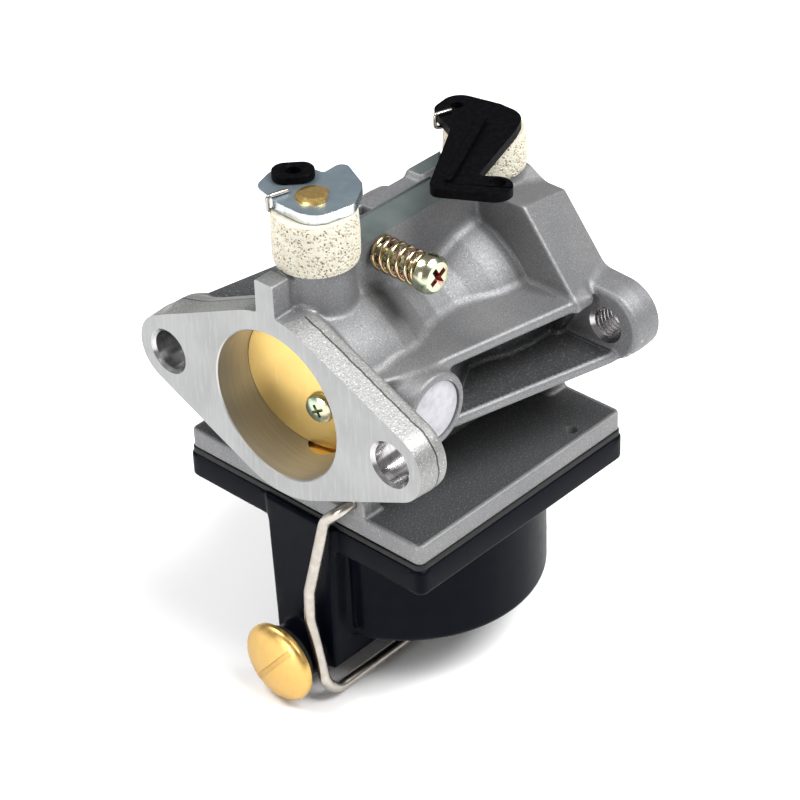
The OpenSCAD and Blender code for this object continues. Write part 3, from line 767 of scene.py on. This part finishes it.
def make_materials():
    f = Finish("cast", (0.175, 0.177, 0.182), 0.6, 0.5)
    f.mottle(0.09, (0.22, 0.22, 0.22), 0.6, (0.4, 0.65), detail=2)
    f.grain((0.4, 0.4, 0.4), (0.09, 0.09, 0.095), 3.8, 0.5, 0.03)
    # Lighter convex edges: partly wear, partly painted highlight
    f.edges((0.5, 0.5, 0.5), 0.5)
    f.uneven(2.0, 0.1, sharp=(0.3, 0.7))
    f.done()

    f = Finish("cast_rim", (0.25, 0.25, 0.245), 0.6, 0.44)
    f.grain((0.62, 0.62, 0.6), (0.12, 0.12, 0.12), 3.4, 0.6, 0.04)
    f.parting_line(3.7, 0.11, (0.02, 0.02, 0.02))
    f.done()

    # Painted shade: a darker copy of the cast finish, for faces that lie in shadow
    f = Finish("cast_painted_shade", (0.085, 0.087, 0.09), 0.6, 0.48)
    f.grain((0.3, 0.3, 0.3), (0.03, 0.03, 0.033), 3.2, 0.65, 0.045)
    # Lighter convex edges: partly wear, partly painted highlight
    f.edges((0.4, 0.4, 0.4), 0.5)
    f.done()

    f = Finish("milled", (0.32, 0.325, 0.322), 0.7, 0.42)
    f.mottle(0.12, (0.26, 0.265, 0.262), 0.7, (0.35, 0.65), detail=3)
    f.mottle(1.6, (0.4, 0.4, 0.395), 0.5, (0.5, 0.75), stretch=(1, 1, 0.12))
    f.uneven(1.2, 0.12, stretch=(1, 1, 0.1))
    f.texture(3.0, 0.006, stretch=(1, 1, 0.06), detail=2)
    f.done()

    f = Finish("bored", (0.42, 0.42, 0.41), 0.8, 0.34)
    f.mottle(2.5, (0.52, 0.52, 0.51), 0.6, stretch=(1, 0.04, 0.04))
    f.texture(5.0, 0.008, stretch=(1, 0.03, 0.03), detail=2)
    f.done()

    f = Finish("deck", (0.14, 0.17, 0.165), 0.6, 0.42)
    f.mottle(0.3, (0.19, 0.22, 0.215), 0.6, (0.4, 0.65))
    f.texture(3.0, 0.005, stretch=(0.1, 1, 1), detail=2)
    f.done()

    f = Finish("drilled", (0.5, 0.49, 0.49), 0.95, 0.22)
    f.mottle(1.5, (0.3, 0.29, 0.3), 0.7, stretch=(1, 0.3, 0.3))
    f.texture(3.0, 0.01, stretch=(1, 0.15, 0.15))
    f.done()

    f = Finish("plug", (0.44, 0.43, 0.46), 0.25, 0.55)
    f.mottle(0.8, (0.3, 0.3, 0.33), 0.6, (0.45, 0.7), detail=5)
    f.texture(2.0, 0.01)
    f.done()

    f = Finish("brass", (0.78, 0.54, 0.2), 1.0, 0.3)
    f.mottle(0.35, (0.62, 0.38, 0.12), 0.5, (0.45, 0.75), detail=4)
    f.uneven(1.5, 0.12, sharp=(0.4, 0.7))
    f.texture(4.0, 0.004)
    f.done()

    f = Finish("brass_plate", (0.72, 0.5, 0.17), 0.95, 0.36)
    f.mottle(0.25, (0.66, 0.42, 0.14), 0.55, (0.42, 0.7), detail=5)
    f.mottle(1.5, (0.9, 0.72, 0.4), 0.4, (0.6, 0.8), stretch=(0.1, 1, 0.1))
    f.texture(3.0, 0.004, stretch=(0.2, 1, 0.2))
    f.done()

    f = Finish("yellow_zinc", (0.5, 0.5, 0.36), 1.0, 0.22)
    f.mottle(0.4, (0.42, 0.56, 0.42), 0.6, (0.4, 0.6), detail=2)
    f.mottle(0.5, (0.6, 0.42, 0.25), 0.45, (0.5, 0.7), detail=2, seed=5.0)
    f.texture(3.0, 0.004)
    f.done()

    f = Finish("zinc_edge", (0.62, 0.66, 0.68), 1.0, 0.22)
    f.mottle(1.2, (0.34, 0.38, 0.42), 0.7, (0.42, 0.62), stretch=(1, 1, 0.15))
    f.texture(3.0, 0.008, stretch=(1, 1, 0.1))
    f.done()

    f = Finish("red_zinc", (0.42, 0.16, 0.13), 1.0, 0.32)
    f.mottle(1.0, (0.16, 0.07, 0.08), 0.7)
    f.done()

    f = Finish("copper_zinc", (0.5, 0.36, 0.2), 1.0, 0.2)
    f.mottle(0.45, (0.46, 0.48, 0.28), 0.6, (0.42, 0.6), detail=2)
    f.mottle(0.6, (0.62, 0.3, 0.3), 0.6, (0.5, 0.68), detail=2, seed=5.0)
    f.texture(3.0, 0.004)
    f.done()

    f = Finish("gold_brass", (0.62, 0.4, 0.13), 1.0, 0.34)
    f.mottle(0.3, (0.58, 0.37, 0.11), 0.6, (0.45, 0.7), detail=5)
    f.mottle(1.2, (0.45, 0.27, 0.08), 0.35, (0.6, 0.72), detail=6, seed=4.0)
    f.uneven(1.0, 0.14, sharp=(0.4, 0.7))
    f.texture(2.5, 0.006)
    f.done()

    f = Finish("blue_zinc", (0.27, 0.34, 0.39), 0.9, 0.36)
    f.mottle(0.25, (0.36, 0.42, 0.46), 0.7, detail=4)
    f.uneven(0.8, 0.12)
    f.texture(3.0, 0.004, stretch=(1, 0.2, 1))
    f.done()

    f = Finish("wire", (0.36, 0.33, 0.29), 1.0, 0.28)
    f.mottle(0.6, (0.5, 0.47, 0.43), 0.6)
    f.texture(3.0, 0.001)
    f.done()

    f = Finish("black_plastic", (0.0015, 0.0015, 0.002), 0.0, 0.5, Specular_IOR_Level=0.02)
    f.mottle(1.2, (0.004, 0.004, 0.0045), 0.8, detail=4)
    f.texture(5.0, 0.006)
    f.done()

    f = Finish("bowl_plastic", (0.0015, 0.002, 0.0045), 0.0, 0.3, Specular_IOR_Level=0.04)
    f.mottle(0.3, (0.0025, 0.003, 0.006), 0.8, detail=4)
    f.uneven(0.5, 0.12, detail=4)
    f.texture(0.5, 0.012, detail=3)
    f.done()

    f = Finish("foam", (0.56, 0.53, 0.44), 0.0, 0.85, Subsurface_Weight=0.15, Subsurface_Scale=0.001)
    f.mottle(0.5, (0.48, 0.44, 0.34), 0.6, (0.45, 0.7))
    f.mottle(4.5, (0.3, 0.26, 0.19), 0.4, (0.6, 0.68), detail=1)
    f.texture(3.0, 0.03)
    f.done()

    f = Finish("rubber", (0.008, 0.008, 0.008), 0.0, 0.55, Specular_IOR_Level=0.2)
    f.mottle(1.5, (0.016, 0.016, 0.016), 0.8)
    f.texture(3.0, 0.01)
    f.done()

    f = Finish("float_plastic", (0.74, 0.71, 0.6), 0.0, 0.45)
    f.mottle(0.3, (0.66, 0.62, 0.5), 0.6)
    f.texture(1.5, 0.008)
    f.done()


make_materials()


# ---------------------------------------------------------------- pieces


def finish_body():
    body = cast_field().mesh("carburetor_body", 0.0)
    carve(body, machining())
    polish(body, 28)
    c, n = centres_and_normals(body)
    x, y, z = c.T
    radial = np.hypot(y, z)
    milled = ((x < 0.02) & (n[:, 0] < -0.99)) | ((x > BODY_L - 0.02) & (n[:, 0] > 0.99))
    level = n[:, 2] > 0.99
    deck = level & (abs(z - DECK_Z + DECK_SUNK) < 0.03)
    for seat in (DECK_Z, THROTTLE_SEAT, CHOKE_SEAT):
        deck |= level & (abs(z - seat) < 0.02) & (x > 7)
    inward = (y * n[:, 1] + z * n[:, 2]) < 0
    bored = (radial < BORE + 0.6) & (x < BORE_END + 0.1) & inward & (x > 0.01)
    drilled = np.zeros(len(c), bool)
    for s in (-1, 1):
        for hole, r, x0, x1 in (
            ((s * STUD_Y, 0), 4.0, 0, 6.3),
            ((s * EAR_Y, -s * EAR_Z), 3.3, BODY_L - 6, BODY_L),
        ):
            near = np.hypot(y - hole[0], z - hole[1]) < r
            drilled |= near & (x > x0) & (x < x1) & (abs(n[:, 0]) < 0.95)
    # Painted shade: a darker copy of the cast finish on the cover inside its rim, the top of the far
    # shelf and the pocket on the near side
    within = (abs(y) < PLATE_Y - 0.6) & (x > PLATE_X[0] + 0.7) & (x < PLATE_X[1] - 0.7)
    painted_shade = level & (abs(z - COVER_TOP) < 0.2) & within
    painted_shade |= (n[:, 2] > 0.5) & (z > 6.8) & (z < 8.1) & (y > 10) & (x > 6.5)
    pocket = (x > 19.5) & (x < 48) & (y < -9) & (y > -26.5)
    painted_shade |= pocket & (((z > -2.9) & (z < 5.3)) | (level & (abs(z + 3) < 0.15)))
    rim = (x > 0.01) & (x < 6.2) & (z > -17.4) & (z < 15.9) & (abs(n[:, 0]) < 0.75)
    rim &= ~inward & (radial > 15) & ~drilled
    keys = ("cast", "milled", "deck", "bored", "drilled", "cast_painted_shade", "cast_rim")
    paint(body, [MAT[key] for key in keys], [milled, deck, bored, drilled, painted_shade, rim])
    return place(body, "casting", ["main_body"], "cast_body")


def ball(centre, r):
    def f(x, y, z):
        return np.sqrt((x - centre[0]) ** 2 + (y - centre[1]) ** 2 + (z - centre[2]) ** 2) - r

    return Solid(f, [c - r for c in centre], [c + r for c in centre])


def finish_bowl():
    """Moulded bowl with its rim, round cup, jet tower and keel."""
    top, under = COVER_BOTTOM - 1.0, COVER_BOTTOM - 5.5
    field = Field([-1.4, -26.2, -54.8], [PLATE_X[1] + 1.2, 26.2, top + 0.8], FINE * 1.2)
    field.add(prism("z", plate_outline(0.5), under, top, 0.45), 0)
    field.add(prism("z", plate_outline(-1.6, 2.7), under - 1.1, under + 1, 0.5), 0.6)
    field.add(rod("z", (CUP_X, 0), CUP_R, -45.6, top, 1.1), 1.3)
    tower = rounded([(-7.4, top, 0), (-6.5, -51, 1.4), (6.5, -51, 1.4), (7.4, top, 0)])
    field.add(prism("x", tower, 3.2, 14.2, 0.6), 0.8)
    rib = rounded([(-8.3, top, 0), (-7.5, -44.5, 1.0), (7.5, -44.5, 1.0), (8.3, top, 0)])
    field.add(prism("x", rib, 7.6, 14.2, 0.4), 0.5)
    field.add(rod("x", (0, BOWL_SCREW_Z), 4.8, -0.8, 6, 0.3), 0.6)
    field.add(block([20, -10, -52.3], [38, 4, -44.6], 0.9), 0.8)
    field.add(block([22, -5.6, -54.1], [36, 0, -51], 0.6), 0.5)
    field.cut(rod("z", (CUP_X, 0), CUP_R - 2, -43.6, top + 2, 0.8), 0.2)
    field.cut(rod("x", (0, BOWL_SCREW_Z), 3.2, -2, 12, 0.1), 0.1)
    field.cut(rod("z", (10, 0), 1.6, BOWL_SCREW_Z, -36.4, 0.1), 0.1)
    for s in (-1, 1):
        field.cut(block([6.9, s * 8.4 - 0.9, -43.5], [7.5, s * 8.4 + 1.2, -27.5], 0.2), 0.2)
    bowl = field.mesh("float_bowl_shell", 0.004)
    finish(bowl, "casting", "float_bowl", "bowl_plastic", "bowl_plastic", 40)

    gasket = prism_mesh("cover_gasket", plate_outline(0.2), COVER_BOTTOM - 1.0, COVER_BOTTOM)
    carve(gasket, [lathe_mesh("hollow", [(CUP_R - 2, -30), (CUP_R - 2, -10)], 96, "z", (CUP_X, 0, 0))])
    bevel(gasket, 0.2, 2)
    finish(gasket, "casting", "bowl_gasket", "rubber", "rubber", 32)


def foam_seal(valve, x, low, lever_low, pores):
    """Ring of open-cell foam, a little crowned between boss and lever, with real pores."""
    name, node, high = valve + "_foam_ring", valve + "_foam_seal", lever_low - FOAM_GAP
    field = Field([x - 7.2, -7.2, low - 0.2], [x + 7.2, 7.2, high + 0.2], 0.1)
    middle = (low + high) / 2
    field.add(turned("z", (x, 0), [
        (low, 0), (low, 6.5), (low + 0.9, 6.7), (middle, 6.75),
        (high - 0.9, 6.6), (high, 6.3), (high, 0),
    ], low, high), 0)
    for _ in range(pores):
        a, z = RNG.uniform(0, 2 * math.pi), RNG.uniform(low + 0.1, high - 0.1)
        r = 0.09 + 0.1 * RNG.random() ** 2
        deep = RNG.uniform(6.3, 6.78)
        field.cut(ball((x + deep * math.cos(a), deep * math.sin(a), z), r), 0.04)
    field.cut(rod("z", (x, 0), 4.6, low - 1, high + 1, 0.1), 0.1)
    foam = field.mesh(name, 0.0)
    finish(foam, "casting", node, "foam", "foam", 60)


def lever_plate(name, outline, low, high, holes, edge=0.28):
    """Pressed plate with rounded edges and punched holes of (x, y, radius)."""
    plate = prism_mesh(name, outline, low, high)
    carve(plate, [prism_mesh("hole", circle(x, y, r, 48), low - 2, high + 2) for x, y, r in holes])
    bevel(plate, edge, 3)
    return flatten(polish(plate, 40))


def moved(outline, x, y):
    return np.asarray(outline) + np.array([x, y])


def finish_throttle():
    low, high = THROTTLE_LEVER
    outline = moved(rounded([
        (-4.8, 2.7, 4), (-3.3, 8.9, 2.6), (1.6, 10.4, 2.6), (5.9, 7.2, 2.0), (6.1, 3.8, 0.5),
        (10.8, 3.9, 1.3), (7.4, -3.2, 2.8), (2.4, -6.3, 3.2), (-5, -4.6, 4.2),
    ], 12), THROTTLE_X, 0)
    link = (THROTTLE_X + 2.2, 6.3)
    holes = [(THROTTLE_X, 0, 2.2), (*link, 2.1)]
    lever = lever_plate("throttle_lever_plate", outline, low, high, holes)
    _, n = centres_and_normals(lever)
    paint(lever, [MAT["blue_zinc"], MAT["zinc_edge"]], [abs(n[:, 2]) < 0.9])
    place(lever, "throttle", ["throttle_lever"], "plated_lever")

    lean = math.radians(-43)
    collar = rounded([(-3.3, -2.4, 2.1), (3.3, -2.4, 2.1), (3.3, 2.4, 2.1), (-3.3, 2.4, 2.1)], 10)
    turn = np.array([[math.cos(lean), -math.sin(lean)], [math.sin(lean), math.cos(lean)]])
    upper = prism_mesh("collar", moved(collar @ turn.T, *link), high, high + 1.4)
    bevel(upper, 0.35, 3)
    neck = lathe_mesh("neck", [(2.0, low - 0.1), (2.0, high + 0.3)], 48, "z", (*link, 0))
    carve(upper, [neck], "UNION")
    hole = [(1.2, low - 3), (1.2, high + 1.1), (1.5, high + 1.41), (1.5, high + 3)]
    carve(upper, [lathe_mesh("bore", hole, 48, "z", (*link, 0))])
    upper.name = "link_bushing_collar"
    finish(upper, "throttle", "link_bushing", "black_plastic", "black_plastic", 35)

    spring_with_hook(
        "throttle_return_spring", "throttle", "throttle_spring", (THROTTLE_X, low),
        coil_r=3.6, arm=(-4.95, 4.7), tip=(-1.6, 3.75), rise=2.0,
    )


def spring_with_hook(name, body, node, seat, coil_r, arm, tip, rise):
    """Coil in the foam whose upper leg comes out, climbs past the lever and lies on it.

    seat is the lever's (x, underside); arm and tip are where the leg rises and ends.
    """
    x, lever_low = seat
    top, over = lever_low - 0.5, lever_low + rise
    start = math.atan2(arm[1], arm[0]) - math.acos(coil_r / math.hypot(*arm))
    turns, pitch, steps = 3.0, 0.9, 96
    coil = []
    for k in range(steps + 1):
        left = turns * (1 - k / steps)
        a = start - 2 * math.pi * left
        coil.append((x + coil_r * math.cos(a), coil_r * math.sin(a), top - left * pitch))
    ax, ay = x + arm[0], arm[1]
    corners = [coil[-1], (ax, ay, top), (ax, ay, over), (x + tip[0], tip[1], over)]
    spring = tube_mesh(name, coil[:-1] + bent_path(corners, 0.7, 8), 0.33, 16)
    finish(spring, body, node, "spring_wire", "wire", 60)


def finish_choke():
    low, high = CHOKE_LEVER
    outline = moved(rounded([
        (-6.1, 1.7, 3), (-2.9, 8.5, 2.8), (3.4, 9.4, 3), (5.1, 1.1, 3.5), (4.9, -4.1, 4.4),
        (0.2, -6.4, 4), (-14.3, -11.2, 0.6), (-10.6, -16.4, 2.8), (-16, -18.6, 2.8), (-22, -7.9, 1.8),
    ], 12), CHOKE_X, 0)
    holes = [(CHOKE_X - 14, -14.9, 1.3), (CHOKE_X + 0.4, 6.1, 1.0)]
    lever = lever_plate("choke_lever_plate", outline, low, high, holes, 0.32)
    ridge = np.array([(1.2, -0.75), (20.6, -0.6), (21.2, 0), (20.6, 0.6), (1.2, 0.75)])
    rib = prism_mesh("rib", ridge, high - 0.3, high + 0.85)
    bevel(rib, 0.3, 3)
    along_arm = Matrix.Rotation(math.atan2(-8.9, -18.2), 4, "Z")
    rib.data.transform(Matrix.Translation((CHOKE_X, 0, 0)) @ along_arm)
    carve(lever, [rib], "UNION")
    lever.name = "choke_lever_plate"
    flatten(polish(lever, 40))
    paint(lever, [MAT["black_plastic"]])
    place(lever, "choke", ["choke_lever"], "black_plastic")
    spring_with_hook(
        "choke_return_spring", "choke", "choke_spring", (CHOKE_X, low),
        coil_r=3.5, arm=(-4.75, 6.2), tip=(-1.9, 5.3), rise=1.9,
    )


def cross_cutter(name, w, arm, depth, axis="-y", centre=(0, 0, 0)):
    """Tapering cross recess whose mouth lies at the centre."""
    parts = []
    for turn in (0, math.pi / 2):
        verts = []
        for z, s in ((0.6, 1.15), (-depth, 0.45)):
            verts += [(sx * arm * s, sy * w * s, z) for sx, sy in ((-1, -1), (1, -1), (1, 1), (-1, 1))]
        faces = [(0, 1, 2, 3), (7, 6, 5, 4), (0, 4, 5, 1), (1, 5, 6, 2), (2, 6, 7, 3), (3, 7, 4, 0)]
        part = raw_object("cross", verts, faces)
        outward(part)
        part.data.transform(Matrix.Rotation(turn + 0.5, 4, "Z"))
        parts.append(part)
    carve(parts[0], [parts[1]], "UNION")
    parts[0].data.transform(Matrix.Translation(centre) @ upright_to(axis))
    parts[0].name = name
    return parts[0]


def finish_idle():
    x, z = IDLE
    head = -13.2
    screw = lathe_mesh("idle_screw_body", [
        (0.3, -15.2), (1.5, -14.2), (1.5, -9.2), (1.3, -9.0), (1.3, 0), (2.9, 0), (3.1, 0.2),
        (3.1, 1.5), (2.9, 1.9), (2.35, 2.4), (1.6, 2.5),
    ], 96, "-y", (x, head, z))
    carve(screw, [cross_cutter("recess", 0.5, 1.8, 1.5, "-y", (x, head - 2.5, z))])
    polish(screw, 32)
    c, _ = centres_and_normals(screw)
    across = np.hypot(c[:, 0] - x, c[:, 2] - z)
    deep = (c[:, 1] > head - 2.39) & (c[:, 1] < head - 0.6) & (across < 2.1)
    paint(screw, [MAT["yellow_zinc"], MAT["red_zinc"]], [deep])
    place(screw, "mixture_screw", ["idle_mixture_screw"], "plated_screw")
    r, turns, steps = 0.4, 5.6, 240
    low, high = WALL_Y - r - 0.1, head + r + 0.08
    points = []
    for k in range(steps + 1):
        s = k / steps
        a = 2 * math.pi * turns * s
        along = np.interp(s, (0, 0.13, 0.87, 1), (0, 0.09, 0.91, 1))
        points.append((x + 2.45 * math.cos(a), low + (high - low) * along, z + 2.45 * math.sin(a)))
    spring = tube_mesh("idle_spring_coil", points, r, 16)
    finish(spring, "casting", "idle_screw_spring", "plated_screw", "copper_zinc", 60)


def finish_bowl_screw():
    z = BOWL_SCREW_Z
    angles = np.linspace(0.12, math.pi / 2, 12)[:-1]
    dome = [(6.95 * math.cos(t), 0.75 + 2.15 * math.sin(t)) for t in angles]
    screw = lathe_mesh("bowl_screw_head", [
        (2.9, -9), (3.12, -8.6), (3.12, 0), (6.7, 0), (6.9, 0.2), (6.95, 0.8), *dome, (0, 2.9),
    ], 128, "-x", (-2.4, 0, z))
    half = np.array([(-0.5, -6.1), (0.5, -6.1), (0.5, 6.1), (-0.5, 6.1)])
    slot = prism_mesh("slot", half, -9, -4.3, "x")
    slot.data.transform(Matrix.Translation((0, 0, z)) @ Matrix.Rotation(math.radians(40), 4, "X"))
    carve(screw, [slot])
    finish(screw, "casting", "bowl_screw", "brass", "gold_brass", 34)
    seal = lathe_mesh("bowl_screw_ring", [
        (3.2, -2.35), (5.4, -2.35), (5.6, -2.15), (5.6, -1.05), (5.4, -0.85), (3.2, -0.85), (3.2, -2.35),
    ], 96, "x", (0, 0, z))
    finish(seal, "casting", "bowl_screw_seal", "rubber", "rubber", 40)


def finish_bail():
    front, back, r = 0.6, 54.6, 0.95
    side = [BAIL_EYE, (-7.7, -19.0), (-4.3, -34), (-4.0, -39.6), (-7.2, -53.7)]
    corners = [(PLATE_X[0] + 3.5, *BAIL_EYE), (2.2, *BAIL_EYE)]
    corners += [(front if p[1] < -25 else 1.5, *p) for p in side[1:]]
    corners += [(back, *p) for p in side[::-1]] + [(PLATE_X[1] - 3.5, *side[0])]
    bail = tube_mesh("bail_loop", bent_path(corners, 3.6, 14), r, 20)
    finish(bail, "bail", "bail_wire", "spring_wire", "wire", 60)


def finish_plug():
    x, y, z = PLUG
    plug = lathe_mesh("welch_plug_disc", [
        (5.1, 0), (5.18, 0.1), (5.18, 0.55), (5.0, 0.72), (4.2, 0.6), (3.6, 0.85), (2, 1.0), (0, 1.05),
    ], 96, "-y", (x, y + PLUG_DEPTH, z))
    finish(plug, "casting", "welch_plug", "plug", "plug", 40)


def finish_plate_screws(name, node, body, x, lean):
    """Pan heads with cross recesses on the front of a butterfly."""
    parts = []
    for z in (-5, 5):
        head = lathe_mesh("screw", [
            (1.08, -3.2), (1.08, 0), (2.45, 0), (2.5, 0.15), (2.5, 0.6),
            (2.25, 1.1), (1.6, 1.42), (0.8, 1.5),
        ], 64, "-x", (-1, 0, z))
        carve(head, [cross_cutter("recess", 0.3, 1.35, 0.9, "-x", (-2.5, 0, z))])
        parts.append(head)
    screws = join(name, parts)
    screws.data.transform(Matrix.Translation((x, 0, 0)) @ Matrix.Rotation(math.radians(lean), 4, "Z"))
    finish(screws, body, node, "plated_screw", "yellow_zinc", 32)


finish_body()
finish_bowl()
foam_seal("throttle", THROTTLE_X, THROTTLE_SEAT, THROTTLE_LEVER[0], 5500)
foam_seal("choke", CHOKE_X, CHOKE_SEAT, CHOKE_LEVER[0], 4200)
finish_throttle()
finish_choke()
finish_idle()
finish_bowl_screw()
finish_bail()
finish_plug()
finish_plate_screws("throttle_plate_screws", "throttle_screws", "throttle", THROTTLE_X, 12.5)
finish_plate_screws("choke_plate_screws", "choke_screws", "choke", CHOKE_X, 0)


def carry(nodes, key):
    """CAD nodes that are shown as they are, with a material."""
    for node in nodes:
        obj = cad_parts[node]
        obj.data.materials.clear()
        obj.data.materials.append(MAT[key])


carry(["throttle_shaft", "inlet_seat", "main_nozzle", "main_jet"], "brass")
carry(["fuel_inlet_spigot", "inlet_needle"], "brass")
carry(["throttle_plate"], "brass_plate")
carry(["choke_shaft", "choke_plate"], "blue_zinc")
carry(["nozzle_o_ring"], "rubber")
carry(["float_hinge_pin"], "wire")
carry(["bowl_float"], "float_plastic")


# ---------------------------------------------------------------- stage


def stage():
    floor_z = CAD_BOUNDS[0][2] - 0.0006
    bpy.ops.mesh.primitive_plane_add(size=6, location=(0.02, 0, floor_z))
    floor = bpy.context.object
    floor.name = "floor"
    f = Finish("floor", (0.95, 0.95, 0.95), 0.0, 0.7)
    f.tint(f.noise(0.002, detail=2), (0.9, 0.9, 0.9), 0.5)
    floor.data.materials.append(f.done())

    world = bpy.data.worlds.new("studio")
    bpy.context.scene.world = world
    world.use_nodes = True
    world.node_tree.nodes["Background"].inputs["Color"].default_value = (1, 1, 1, 1)
    world.node_tree.nodes["Background"].inputs["Strength"].default_value = 0.26

    def softbox(name, position, target, size, power):
        light = bpy.data.lights.new(name, "AREA")
        light.shape, light.size, light.energy = "SQUARE", size, power
        obj = bpy.data.objects.new(name, light)
        bpy.context.scene.collection.objects.link(obj)
        obj.location = position
        obj.rotation_euler = (Vector(target) - Vector(position)).to_track_quat("-Z", "Y").to_euler()

    middle = (0.027, 0, -0.01)
    softbox("key", (0.25, -0.5, 0.85), middle, 0.6, 19)
    softbox("left", (-0.95, 0.0, 0.22), middle, 0.4, 5)
    softbox("top", (-0.25, 0.45, 0.8), middle, 0.4, 7)


stage()


def camera():
    """Product view from the front left, looking down a little."""
    azimuth, elevation, roll = math.radians(-46.05), math.radians(34.36), math.radians(-2.26)
    level = math.cos(elevation)
    back = Vector((math.sin(azimuth) * level, -math.cos(azimuth) * level, math.sin(elevation)))
    right = Vector((math.cos(azimuth), math.sin(azimuth), 0))
    up = back.cross(right)
    r = right * math.cos(roll) + up * math.sin(roll)
    u = up * math.cos(roll) - right * math.sin(roll)
    cam = bpy.data.cameras.new("camera")
    cam.sensor_width, cam.lens = 36, 2748.4 / 800 * 36
    cam.clip_start, cam.clip_end = 0.01, 20
    obj = bpy.data.objects.new("camera", cam)
    bpy.context.scene.collection.objects.link(obj)
    m = Matrix((r, u, back)).transposed().to_4x4()
    m.translation = Vector((-0.23513, -0.25303, 0.23607))
    obj.matrix_world = m
    bpy.context.scene.camera = obj


camera()
bpy.context.scene.view_settings.view_transform = "Standard"
